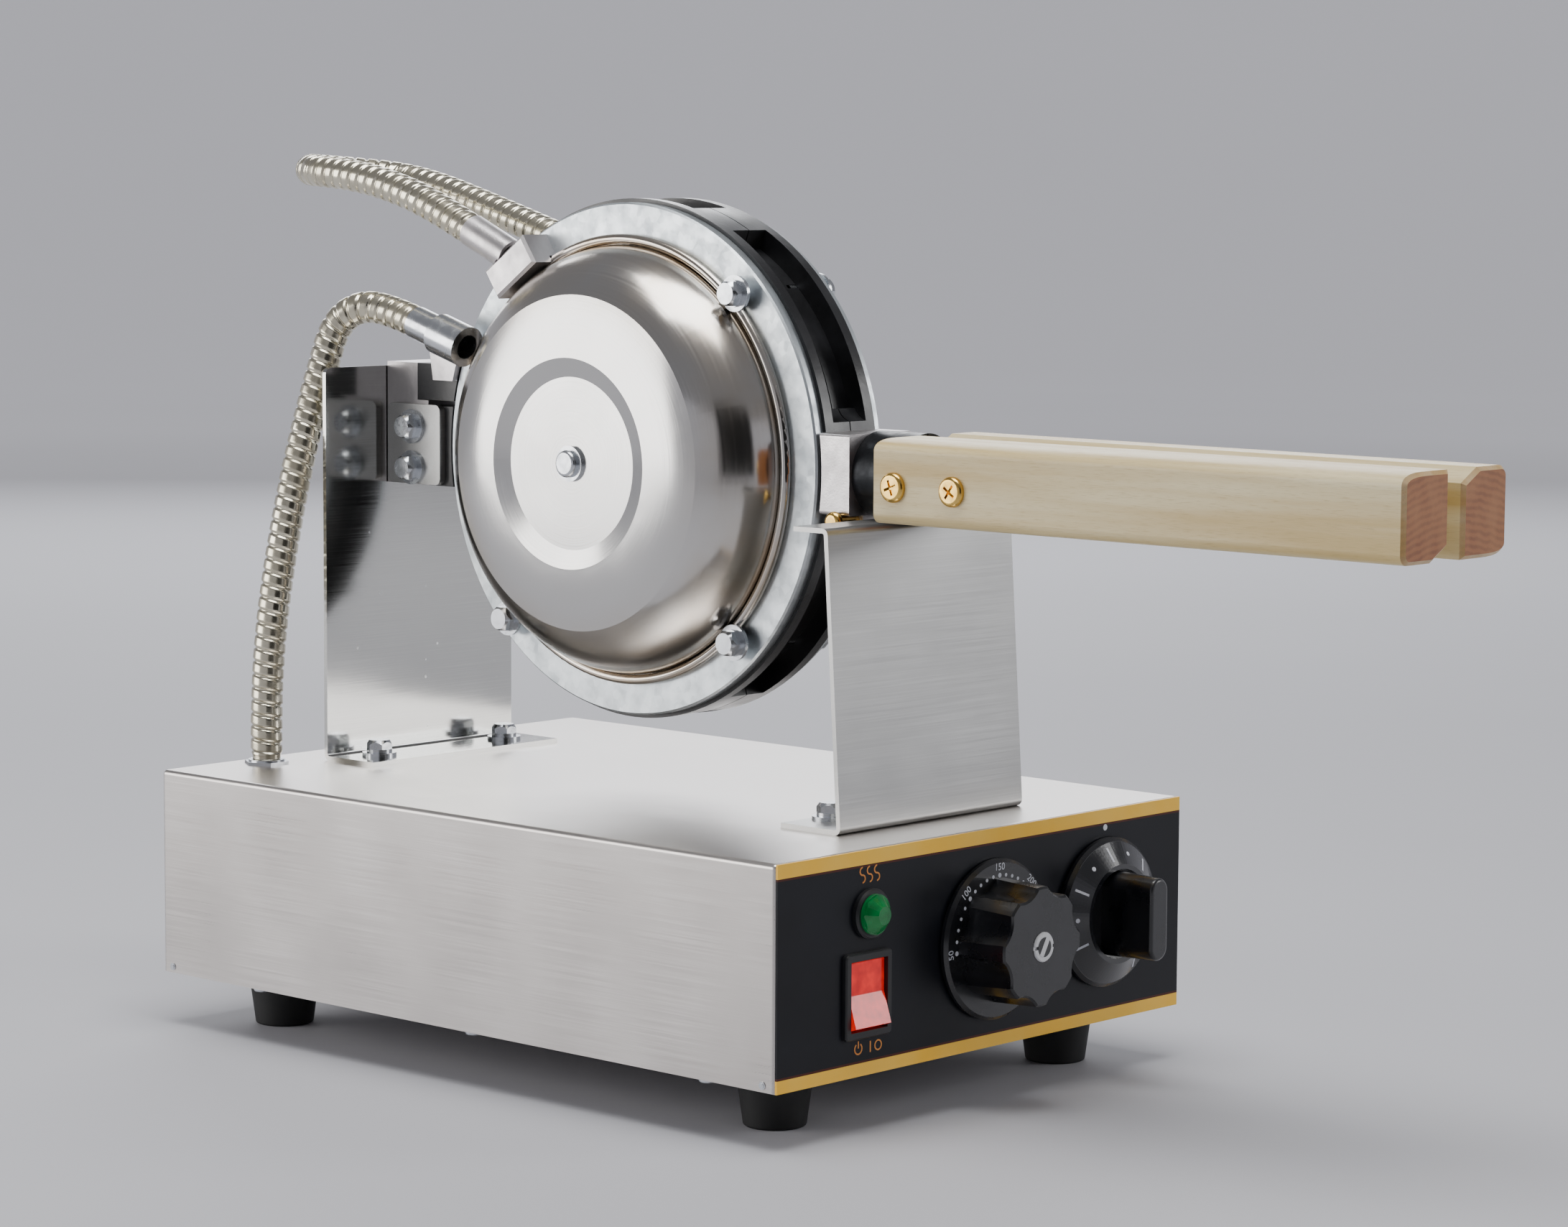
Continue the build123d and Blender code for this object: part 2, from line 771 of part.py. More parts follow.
def leaf_b():
    """Lid's hinge leaf, its knuckle round the pin."""
    low = axis_z + leaf_low
    high = axis_z + block_half
    outer_x = leaf_b_x + leaf_b_t
    leaf = block(leaf_b_x, outer_x, leaf_b_front_y, leaf_b_neck_y, low, high)
    knuckle_z = axis_z + knuckle_low
    leaf += block(leaf_b_x, outer_x, leaf_b_neck_y - 1, pin_y, knuckle_z, high)
    knuckle_h = arm_low - move_gap - knuckle_low
    leaf += rod((pin_x, pin_y, knuckle_z), (0, 0, 1), knuckle_r, knuckle_h)
    leaf -= rod((pin_x, pin_y, knuckle_z), (0, 0, 1), pin_r + fit_gap, knuckle_h)
    return leaf - [bolt_hole(seat, leaf_b_t) for seat in leaf_b_seats()]


def leaf_b_bolts():
    """Two hex bolts through leaf B into the lid's boss."""
    return group(stacked_bolts(leaf_b_seats(), leaf_b_t + 6))


def cell_centres():
    """Hexagonal pattern of bubble cells, (y, z) on the pan."""
    rise = cell_pitch * math.sqrt(3) / 2
    middle = (len(cell_rows) - 1) / 2
    centres = []
    for row, count in enumerate(cell_rows):
        for place in range(count):
            y = mould_y + (place - (count - 1) / 2) * cell_pitch
            centres.append((y, axis_z + (row - middle) * rise))
    return centres


def ring_bolt_seats():
    """Seats of the ring bolts on half B, on top of the dome's bead."""
    seats = []
    for degrees in ring_bolt_angles:
        y, z = on_circle(ring_bolt_r, degrees)
        seats.append(outward(bead_x, y, z))
    return seats


def rim_boss(degrees, width):
    """Cast boss that bridges the groove at one angle of the rim."""
    y, z = on_circle((groove_r + pan_r) / 2, degrees)
    across = pan_r - groove_r + 8
    cut = Pos(flange_x / 2, y, z) * Rot(-degrees, 0, 0) * Box(flange_x * 2, across, width)
    return mould_disc(part_gap, flange_x, pan_r) & cut


def pan_body():
    """Cast pan of half B: grooved rim, tray, bubble cells and a post behind."""
    pan = turned([
        (part_gap, 0),
        (part_gap, groove_r),
        (flange_x, groove_r),
        (flange_x, pan_r),
        (ring_x, pan_r),
        (ring_x, hub_r),
        (hub_x, hub_r),
        (hub_x, post_r),
        (hub_x + post_h, post_r),
        (hub_x + post_h, 0),
    ])
    for degrees in boss_angles:
        pan += rim_boss(degrees, boss_w)
    lug_boss = rim_boss(0, lug_boss_w)
    for side in (-1, 1):
        y, z = on_circle(pan_r, 0)
        scoop = (0, y, z + side * (lug_boss_w / 2 + 4))
        lug_boss -= rod(scoop, (1, 0, 0), 9.0, flange_x)
    pan += lug_boss
    floor_x = part_gap + tray_depth
    pan -= mould_disc(0, floor_x, tray_r)
    pan -= [Pos(floor_x, y, z) * Sphere(cell_r) for y, z in cell_centres()]
    for seat in ring_bolt_seats():
        pan -= bolt_hole(seat, bead_x - flange_x + 6)
    pan -= rod((stud_x, lug_end_y, axis_z), (0, 1, 0), stud_r + fit_gap, stud_tip_y - lug_end_y + 1)
    post_x = hub_x + post_h
    return pan - rod((post_x, mould_y, axis_z), (-1, 0, 0), bolt_r + fit_gap, post_h)


def pan_b():
    """Lid pan with the boss that its hinge leaf is bolted to."""
    low = axis_z - block_half
    high = axis_z + block_half
    boss = block(boss_b_x, leaf_b_x, mould_y + tray_r + 4, boss_b_y, low, high)
    return pan_body() + boss - [bolt_hole(seat, leaf_b_t + 7) for seat in leaf_b_seats()]


def pan_a():
    """Pan of half A with the ear and the boss that meet the yoke."""
    inner_y = mould_y + tray_r + 4
    ear_y = yoke_arm_y - fit_gap
    ear = block(ear_x, yoke_half, inner_y, ear_y, axis_z + arm_low, axis_z + arm_high)
    low = axis_z - block_half
    high = axis_z + block_half
    boss = block(ear_x, yoke_half, inner_y, yoke_block_y - move_gap, low, high)
    ring_room = mould_disc(ring_x, yoke_half + 1, ring_r + move_gap)
    pan = mirror(pan_body() + (ear - ring_room) + (boss - ring_room), about=Plane.YZ)
    return pan - yoke_screw_holes()


def ring(side):
    """Flat clamping ring between the pan's flange and the dome's brim."""
    hoop = mould_disc(ring_x, dome_x, ring_r) - mould_disc(ring_x, dome_x, ring_hole_r)
    hoop = chamfer(hoop.faces().sort_by(Axis.X)[-1].edges().sort_by(SortBy.LENGTH)[-1], 0.8)
    hoop -= [bolt_hole(seat, ring_t + 2 * bead_r) for seat in ring_bolt_seats()]
    return half(hoop, side)


def dome_face(skin):
    """Half outline of the dome, filled, drawn in by the sheet's thickness."""
    step_in = dome_step_r + skin
    foot = Line((0, 0), (0, dome_r - skin))
    wall_mid = (dome_shoulder_h * 0.62 - skin * 0.6, dome_swell_r - skin)
    shoulder = (dome_shoulder_h - skin * 0.75, dome_shoulder_r - skin * 0.6)
    wall = ThreePointArc(foot @ 1, wall_mid, shoulder)
    crown = (dome_crown_h - skin, dome_crown_r)
    crown_mid = (dome_crown_h - 1.0 - skin, (dome_shoulder_r + dome_crown_r) / 2 - 1.5)
    roof = ThreePointArc(shoulder, crown_mid, crown)
    step = Line(crown, (dome_step_h - skin, step_in - 2 * skin))
    lid = Line(step @ 1, (dome_step_h - skin, 0))
    return make_face([foot, wall, roof, step, lid, Line(lid @ 1, (0, 0))])


def dome_cover(side):
    """Spun dome with its rolled bead and pressed centre step."""
    place = Pos(dome_x, mould_y, axis_z)
    dome = place * revolve(dome_face(0), Axis.X)
    bead_mid_r = dome_r + bead_r
    dome += mould_disc(dome_x, dome_x + dome_t, bead_mid_r)
    dome += place * Pos(bead_r, 0, 0) * Rot(0, 90, 0) * Torus(bead_mid_r, bead_r)
    dome -= place * Pos(-0.001, 0, 0) * revolve(dome_face(dome_t), Axis.X)
    top = dome_x + dome_step_h
    dome -= rod((top, mould_y, axis_z), (-1, 0, 0), bolt_r + bolt_hole_gap, 2 * dome_t)
    return half(dome, side)


def dome_screw(side):
    """Centre screw and washer that hold the dome to the pan's post."""
    top = dome_x + dome_step_h
    seat = outward(top, mould_y, axis_z)
    reach = top - hub_x - post_h / 2
    screw = Cylinder(bolt_r * 1.9, bolt_head_h * 0.7, align=UP)
    screw = fillet(screw.faces().sort_by(Axis.Z)[-1].edges(), bolt_head_h * 0.4)
    screw = Pos(0, 0, washer_t) * (screw + Cylinder(bolt_r, washer_t + reach, align=DOWN))
    parts = [seat * screw, seat * washer(washer_r, washer_t)]
    return group(half(part, side) for part in parts)


def ring_bolts(side):
    """Bolts with their washers round the ring."""
    bolts = stacked_bolts(ring_bolt_seats(), bead_x - flange_x + 4)
    return group(half(bolt, side) for bolt in bolts)


def stack_disc(x, radius, thickness):
    """Disc of the heating stack, with a hole for the pan's post."""
    disc = mould_disc(x, x + thickness, radius)
    return disc - mould_disc(x, x + thickness, post_r + move_gap)


def heater(side):
    """Mica heating plate on the pan's back."""
    return half(stack_disc(hub_x + stack_gap, heater_r, heater_t), side)


def clamp_plate(side):
    """Steel plate that presses the heater on the pan."""
    x = hub_x + 2 * stack_gap + heater_t
    return half(stack_disc(x, clamp_plate_r, clamp_plate_t), side)


def pad_x():
    """Depth at which the insulation starts."""
    return hub_x + 3 * stack_gap + heater_t + clamp_plate_t


def insulation(side):
    """Ceramic fibre pad under the dome, grooved for the thermostat's bulb."""
    pad = mould_disc(pad_x(), pad_x() + pad_t, pad_r)
    pad -= mould_disc(pad_x(), pad_x() + pad_t, bolt_r * 2 + post_r)
    if side < 0:
        low = axis_z - bulb_l / 2 - 1
        room = bulb_r + move_gap
        y = mould_y + bulb_y
        pad -= block(pad_x() - 1, pad_x() + 2 * room, y - room, y + room, low, low + bulb_l + 2)
    return half(pad, side)


def heating_stack(side):
    """Heater and clamp plate; half A's also holds the thermostat's bulb."""
    stack = [heater(side), clamp_plate(side)]
    return stack + [thermostat_bulb()] if side < 0 else stack


def thermostat_bulb():
    """Sensing bulb clipped behind half A's clamp plate."""
    x = -(pad_x() + bulb_r)
    bulb = rod((x, mould_y + bulb_y, axis_z - bulb_l / 2), (0, 0, 1), bulb_r, bulb_l)
    return fillet(bulb.edges().filter_by(GeomType.CIRCLE), bulb_r * 0.5)


def handle_lug(side):
    """Cast lug between the rim and the journal; half A's carries the stop screw's ear."""
    low = axis_z - lug_half_h
    high = axis_z + lug_half_h
    root_y = mould_y - pan_r + 6
    lug = block(part_gap, lug_x, lug_end_y, root_y, low, high)
    lug = fillet(lug.edges().filter_by(Axis.Y).group_by(Axis.X)[-1], lug_fillet)
    if side < 0:
        ear = block(part_gap, stop_ear_x, stop_screw_y - 4, stop_screw_y + 4, low - stop_ear_h, low)
        lug += ear
        z = axis_z + stop_screw_z
        lug -= rod((stop_ear_x, stop_screw_y, z), (-1, 0, 0), stop_screw_r + fit_gap, stop_ear_x)
    lug -= mould_disc(0, ring_x, pan_r + fit_gap)
    lug -= mould_disc(ring_x, lug_x + 1, pan_r + fit_gap)
    bore = stud_r + fit_gap
    lug -= rod((stud_x, lug_end_y, axis_z), (0, 1, 0), bore, root_y - lug_end_y)
    return half(lug, side)


def stop_screw():
    """Brass round-head screw under half A's lug."""
    z = axis_z + stop_screw_z
    shank = rod((-stop_head_x, stop_screw_y, z), (1, 0, 0), stop_screw_r, stop_head_x - 2)
    plane = Plane(origin=(-stop_head_x, stop_screw_y, z), z_dir=(-1, 0, 0))
    head = Cylinder(stop_head_r, stop_head_h, align=UP)
    head = fillet(head.faces().sort_by(Axis.Z)[-1].edges(), stop_head_h * 0.8)
    return shank + plane * head


def journal(side):
    """Half-round journal with its stud into the pan and its tang in the handle."""
    length = lug_end_y - journal_end_y
    start = (0, lug_end_y, axis_z)
    collar = rod(start, (0, -1, 0), journal_r, length)
    keep = block(part_gap, journal_r, journal_end_y, lug_end_y, axis_z - journal_r, axis_z + journal_r)
    piece = collar & keep
    piece += rod((stud_x, lug_end_y, axis_z), (0, 1, 0), stud_r, stud_tip_y - lug_end_y)
    tang_y = journal_end_y - tang_l
    low = axis_z - tang_half_h
    high = axis_z + tang_half_h
    piece += block(part_gap, tang_x, tang_y, journal_end_y, low, high)
    for y in grip_screw_y:
        z = axis_z + side * grip_screw_drop
        piece -= rod((0, y, z), (1, 0, 0), grip_screw_r + fit_gap, tang_x + 1)
    return half(piece, side)


def grip_outline():
    """Cross-section of half A's grip, (x, z) about the handle's axis."""
    inner = -grip_x
    outer = -grip_x - grip_w
    top = grip_h / 2
    low = -grip_h / 2
    roof = Line((inner, top), (outer + grip_round_w, top))
    reach = (outer + grip_round_w * 0.4, top)
    crown = Bezier(roof @ 1, reach, (outer, top - grip_round_h * 0.2), (outer, top - grip_round_h))
    face = Line(crown @ 1, (outer, low + grip_edge_r))
    centre = (outer + grip_edge_r, low + grip_edge_r)
    diagonal = grip_edge_r * math.sqrt(0.5)
    turn_mid = (centre[0] - diagonal, centre[1] - diagonal)
    turn = ThreePointArc(face @ 1, turn_mid, (outer + grip_edge_r, low))
    floor = Line(turn @ 1, (inner - grip_chamfer_w, low))
    bevel = Line(floor @ 1, (inner, low + grip_chamfer_h))
    return make_face([roof, crown, face, turn, floor, bevel, Line(bevel @ 1, (inner, top))])


def about_axis(solid):
    """Half A's piece turned half a turn about the handle's axis."""
    return Pos(0, 0, axis_z) * Rot(0, 180, 0) * Pos(0, 0, -axis_z) * solid


def grip_a():
    """Wooden grip of half A, drilled for its screws."""
    plane = Plane(origin=(0, grip_root_y, axis_z), x_dir=(1, 0, 0), z_dir=(0, -1, 0))
    grip = plane * extrude(grip_outline(), grip_l)
    tip = grip.faces().sort_by(Axis.Y)[0]
    grip = chamfer(tip.edges(), grip_end_r)
    for y in grip_screw_y:
        start = (-grip_x - grip_w, y, axis_z - grip_screw_drop)
        grip -= rod(start, (1, 0, 0), grip_screw_r + fit_gap, grip_w)
    return grip


def grip_screws_a():
    """Brass round-head screws through the grip into the tang."""
    screws = []
    outer = -grip_x - grip_w
    for y in grip_screw_y:
        spot = (outer, y, axis_z - grip_screw_drop)
        head = Cylinder(grip_screw_head_r, grip_screw_head_h, align=UP)
        head = fillet(head.faces().sort_by(Axis.Z)[-1].edges(), grip_screw_head_h * 0.7)
        shank = rod(spot, (1, 0, 0), grip_screw_r, -outer - grip_screw_tip)
        screws.append(Plane(origin=spot, z_dir=(-1, 0, 0)) * head + shank)
    return screws


def unit(start, end):
    """Unit vector from one point to another."""
    return (Vector(*end) - Vector(*start)).normalized()


def route_path(points):
    """Straight runs joined by tangent arcs, each as large as its two runs allow."""
    radii = []
    for before, corner, after in zip(points, points[1:], points[2:]):
        run_in = Vector(*corner) - Vector(*before)
        run_out = Vector(*after) - Vector(*corner)
        turn = math.radians(run_in.get_angle(run_out))
        shorter = min(run_in.length, run_out.length)
        radii.append(0.45 * shorter / math.tan(turn / 2))
    print("bend radii", [round(radius, 1) for radius in radii])
    return FilletPolyline(*points, radius=radii)


def ribbed_hose(points, across):
    """Flexible metal hose: ribs lofted through circles along the route, open bore."""
    path = route_path(points)
    count = round((path.length - 2 * hose_lead) / hose_pitch)
    pitch = (path.length - 2 * hose_lead) / count
    flank = hose_groove / 3
    stations = [(0.0, hose_root_r)]
    for rib in range(count):
        start = hose_lead + rib * pitch
        stations.append((start + flank, hose_root_r))
        stations.append((start + 2 * flank, hose_r))
        stations.append((start + pitch - flank, hose_r))
        stations.append((start + pitch, hose_root_r))
    stations.append((path.length, hose_root_r))
    rings = []
    for distance, radius in stations:
        share = distance / path.length
        plane = Plane(origin=path @ share, x_dir=across, z_dir=path % share)
        rings.append(plane * Circle(radius))
    mouth = Plane(origin=path @ 0, x_dir=across, z_dir=path % 0)
    bore = sweep(mouth * Circle(hose_bore_r), path)
    print("hose length", round(path.length, 1), "ribs", count)
    return loft(rings, ruled=True) - bore


def jumper_ferrule(side):
    """Smooth sleeve from the jumper's end to its clamp block."""
    ends = (jumper_route[0], jumper_route[1]) if side < 0 else (jumper_route[-1], jumper_route[-2])
    heading = unit(ends[1], ends[0])
    sleeve = tube(ends[0], heading, ferrule_r, ferrule_bore_r, ferrule_l)
    pieces = (sleeve - half(clamp_outline(), side)).solids()
    return pieces.sort_by_distance(ends[0])[0]


def clamp_outline():
    """Clamp block of half B, on the ring and over the dome's bead."""
    y, z = on_circle(clamp_r, clamp_angle)
    spot = Pos(dome_x + clamp_t / 2, y, z) * Rot(-clamp_angle, 0, 0)
    bead_room = mould_disc(dome_x, bead_x + fit_gap, dome_r + 2 * bead_r + fit_gap)
    return spot * Box(clamp_t, clamp_h, clamp_w) - bead_room


def jumper_clamp(side):
    """Clamp block with rounded outer edges."""
    body = clamp_outline()
    edges = body.faces().sort_by(Axis.X)[-1].edges()
    return half(chamfer(edges, 1.2), side)


def main_socket():
    """Sleeve and threaded socket at the top of the main conduit."""
    end = Vector(*main_route[-1])
    heading = unit(main_route[-2], main_route[-1])
    sleeve = tube(end, heading, ferrule_r, ferrule_bore_r, main_ferrule_l)
    nut_start = end + heading * main_ferrule_l
    nut = tube(nut_start, heading, socket_r, socket_bore_r, socket_l)
    return group([sleeve, nut])


def socket_strap():
    """Flat strap from half A's ear up to the socket."""
    ear_top = axis_z + arm_high
    outline = [
        (rim_rear_y + 7.0, ear_top - 7.0),
        (rim_rear_y + 9.5, ear_top + 8.0),
        (rim_rear_y, ear_top + 17.0),
        (rim_rear_y - 12.0, ear_top + 13.0),
        (rim_rear_y - 8.5, ear_top - 7.0),
    ]
    face = Plane.YZ * make_face(Polyline(*outline, close=True))
    strap = Pos(-yoke_half, 0, 0) * extrude(face, -strap_t)
    end = Vector(*main_route[-1])
    heading = unit(main_route[-2], main_route[-1])
    room = rod(end, heading, socket_r + fit_gap, main_ferrule_l + socket_l + 5)
    ring_room = mirror(mould_disc(ring_x, dome_x + 4, ring_r + move_gap), about=Plane.YZ)
    return strap - room - ring_room


def conduit_gland():
    """Gland on the base's top where the main conduit comes out."""
    x, y, z = main_route[0]
    heading = unit(main_route[0], main_route[1])
    seat = Pos(x, y, top_z)
    body = seat * hexagon(2 * gland_r, gland_h * 0.6)
    body += seat * Cylinder(gland_r * 0.9, gland_h, align=UP)
    body += seat * Cylinder(gland_thread_r, sheet + gland_nut_h + 1, align=DOWN)
    body -= rod((x, y, top_z - sheet - gland_nut_h - 2), (0, 0, 1), hose_bore_r, gland_h + 10)
    nut = seat * Pos(0, 0, -sheet) * Rot(180, 0, 0) * hexagon(2 * gland_r, gland_nut_h)
    nut -= seat * Cylinder(gland_thread_r + fit_gap, 4 * gland_nut_h)
    return group([body, nut])


def switch_housing():
    """Rocker switch housing: bezel outside, open box through the panel."""
    plane = control_plane(switch_x, switch_z)
    bezel = extrude(RectangleRounded(switch_bezel_w, switch_bezel_h, 2.0), switch_bezel_t)
    bezel = chamfer(bezel.faces().sort_by(Axis.Z)[-1].edges(), 0.6)
    body = Box(switch_body_w, switch_body_h, switch_body_l, align=DOWN)
    hollow_h = switch_body_l - switch_floor + switch_bezel_t
    hollow = Pos(0, 0, switch_bezel_t) * Box(switch_window_w, switch_window_h, hollow_h, align=DOWN)
    pins = Pos(0, 0, -rocker_pivot_in) * Rot(0, 90, 0) * Cylinder(rocker_pin_r + fit_gap, switch_body_w - 0.6)
    return plane * (bezel + body - hollow - pins)


def switch_blades():
    """Spade terminals behind the switch."""
    plane = control_plane(switch_x, switch_z)
    blade = Box(blade_w, blade_t, blade_l, align=DOWN)
    spots = (-blade_pitch, 0, blade_pitch)
    return [plane * Pos(0, y, -switch_body_l) * blade for y in spots]


def rocker():
    """Rocker, tipped so that its lower half stands out."""
    wedge = math.tan(math.radians(rocker_bevel)) * rocker_r
    outline = [
        (-rocker_r, -rocker_back),
        (rocker_r, -rocker_back),
        (rocker_r, rocker_front + wedge),
        (0, rocker_front),
        (-rocker_r, rocker_front + wedge),
    ]
    face = Plane.YZ * make_face(Polyline(*outline, close=True))
    body = extrude(face, rocker_w / 2, both=True)
    body &= Rot(0, 90, 0) * Cylinder(rocker_r, rocker_w)
    pins = Rot(0, 90, 0) * Cylinder(rocker_pin_r, rocker_w + 2 * rocker_pin_l)
    tipped = Rot(-rocker_bevel, 0, 0) * (body + pins)
    return control_plane(switch_x, switch_z) * Pos(0, 0, -rocker_pivot_in) * tipped


def lamp_bezel():
    """Indicator bezel with its barrel through the panel."""
    ring_part = Cylinder(lamp_bezel_r, lamp_bezel_t, align=UP)
    ring_part = chamfer(ring_part.faces().sort_by(Axis.Z)[-1].edges(), 0.8)
    barrel = Cylinder(lamp_barrel_r, lamp_barrel_l, align=DOWN)
    bore = Pos(0, 0, lamp_bezel_t) * Cylinder(lamp_barrel_r - lamp_wall, lamp_barrel_l, align=DOWN)
    seat = Pos(0, 0, lamp_bezel_t) * Cylinder(lamp_lens_r + fit_gap, lamp_bezel_t * 0.6, align=DOWN)
    return control_plane(lamp_x, lamp_z) * (ring_part + barrel - bore - seat)


def lamp_lens():
    """Faceted jewel of the indicator."""
    base = lamp_bezel_t * 0.4
    collar = Pos(0, 0, base) * Cylinder(lamp_lens_r, lamp_lens_h * 0.4, align=UP)
    stub_r = lamp_barrel_r - lamp_wall - fit_gap
    stub = Pos(0, 0, base) * Cylinder(stub_r, lamp_lens_h, align=DOWN)
    crown = Cone(lamp_lens_r, lamp_lens_r * 0.45, lamp_lens_h * 0.6, align=UP)
    crown &= extrude(RegularPolygon(lamp_lens_r * 0.98, 8), lamp_lens_h)
    jewel = collar + stub + Pos(0, 0, base + lamp_lens_h * 0.4) * crown
    return control_plane(lamp_x, lamp_z) * jewel


def spindle(x, z):
    """Control shaft from the knob into the body behind the panel."""
    front = knob_gap + spindle_in_knob
    shaft = Pos(0, 0, front) * Cylinder(spindle_r, front + label_t + sheet + spindle_tail, align=DOWN)
    return control_plane(x, z) * shaft


def spindle_socket():
    """Blind bore in a knob, open at its back."""
    return Pos(0, 0, knob_gap - 1) * Cylinder(spindle_r + fit_gap, spindle_in_knob + 1, align=UP)


def thermostat_knob():
    """Skirted dial with a scalloped grip."""
    skirt = Pos(0, 0, knob_gap) * Cylinder(dial_skirt_r, dial_skirt_t, align=UP)
    skirt = chamfer(skirt.faces().sort_by(Axis.Z)[-1].edges(), 1.4)
    height = dial_knob_h - knob_gap
    grip = Pos(0, 0, knob_gap) * Cone(dial_knob_r + 1.2, dial_knob_r, height, align=UP)
    reach = dial_knob_r + dial_scallop_r - dial_scallop_depth
    for spot in PolarLocations(reach, dial_lobes, start_angle=180 / dial_lobes):
        grip -= spot * Pos(0, 0, knob_gap + dial_skirt_t) * Cylinder(dial_scallop_r, height, align=UP)
    grip = chamfer(grip.faces().sort_by(Axis.Z)[-1].edges(), 0.8)
    seat = Pos(0, 0, dial_knob_h) * Cylinder(dial_cap_r + fit_gap, dial_cap_h / 2, align=DOWN)
    return control_plane(dial_x, dial_z) * (skirt + grip - spindle_socket() - seat)


def thermostat_cap():
    """Slotted cap in the middle of the dial."""
    cap = Cylinder(dial_cap_r, dial_cap_h, align=UP)
    cap = chamfer(cap.faces().sort_by(Axis.Z)[-1].edges(), 0.4)
    cap -= Pos(0, 0, dial_cap_h) * Box(2 * dial_cap_r, 1.4, dial_cap_h)
    return control_plane(dial_x, dial_z) * Pos(0, 0, dial_knob_h - dial_cap_h / 2) * cap


def timer_knob():
    """Skirted timer knob with a bar grip."""
    skirt = Pos(0, 0, knob_gap) * Cylinder(timer_skirt_r, timer_skirt_t, align=UP)
    skirt = chamfer(skirt.faces().sort_by(Axis.Z)[-1].edges(), 1.4)
    height = timer_grip_out - knob_gap
    bar = extrude(SlotOverall(timer_grip_h, timer_grip_w, rotation=90), height, taper=2)
    grip = Pos(0, 0, knob_gap) * bar
    grip = fillet(grip.faces().sort_by(Axis.Z)[-1].edges(), 1.5)
    return control_plane(timer_x, timer_z) * (skirt + grip - spindle_socket())


def thermostat_body():
    """Capillary thermostat behind the panel."""
    seat = Pos(0, 0, -label_t - sheet)
    body = seat * Box(thermostat_w, thermostat_h, thermostat_l, align=DOWN)
    body = fillet(body.edges().filter_by(Axis.Z), 3)
    neck = seat * Cylinder(spindle_bush_r, sheet + label_t, align=UP)
    bore = Cylinder(spindle_r + fit_gap, 2 * (label_t + sheet + spindle_tail + 1))
    return control_plane(dial_x, dial_z) * (body + neck - bore)


def timer_body():
    """Clockwork timer behind the panel, with its bell."""
    seat = Pos(0, 0, -label_t - sheet)
    body = seat * Cylinder(timer_body_r, timer_body_l, align=DOWN)
    bell = seat * Pos(0, 0, -timer_body_l) * Cone(timer_body_r * 0.45, timer_body_r * 0.8, 9, align=DOWN)
    neck = seat * Cylinder(spindle_bush_r, sheet + label_t, align=UP)
    bore = Cylinder(spindle_r + fit_gap, 2 * (label_t + sheet + spindle_tail + 1))
    return control_plane(timer_x, timer_z) * (body + bell + neck - bore)


def terminal_block():
    """Ceramic terminal block screwed to the bottom plate."""
    seat = Pos(block_x, block_y, base_z)
    body = seat * Box(block_w, block_d, block_h, align=UP)
    body = fillet(body.faces().sort_by(Axis.Z)[-1].edges(), 1.5)
    pitch = block_w * 0.6 / block_poles
    for pole in range(block_poles):
        x = block_x + (pole - (block_poles - 1) / 2) * pitch
        y = block_y - block_d / 2
        body -= rod((x, y, base_z + block_h / 2), (0, 1, 0), block_hole_r, block_d)
    for side in (-1, 1):
        hole = Cylinder(block_screw_r + fit_gap, block_h, align=UP)
        body -= Pos(block_x + side * block_w * 0.42, block_y, base_z) * hole
    return body


def block_screws():
    """Screws of the terminal block, nuts under its feet in the plate."""
    screws = []
    for side in (-1, 1):
        spot = Pos(block_x + side * block_w * 0.42, block_y, base_z + block_h)
        head = Cylinder(block_screw_r * 1.9, 2.4, align=UP)
        shank = Cylinder(block_screw_r, block_h + plate_t, align=DOWN)
        screws.append(spot * (head + shank))
    return screws


def cable_gland():
    """Cable inlet gland in the rear wall."""
    z = base_z + inlet_z
    outside = (inlet_x, rear_wall_y, z)
    body = rod(outside, (0, 1, 0), inlet_flange_r, inlet_flange_t)
    body += rod(outside, (0, 1, 0), inlet_cap_r, inlet_flange_t + inlet_cap_l)
    tip = body.faces().sort_by(Axis.Y)[-1]
    body = fillet(tip.edges(), 3)
    body += rod(outside, (0, -1, 0), inlet_r, sheet + 8)
    body -= rod((inlet_x, rear_wall_y - 20, z), (0, 1, 0), inlet_bore_r, 50)
    inside = Plane(origin=(inlet_x, rear_wall_y - sheet, z), z_dir=(0, -1, 0))
    nut = inside * hexagon(2 * inlet_flange_r * 0.95, 4)
    nut -= rod(outside, (0, -1, 0), inlet_r + fit_gap, 20)
    return group([body, nut])


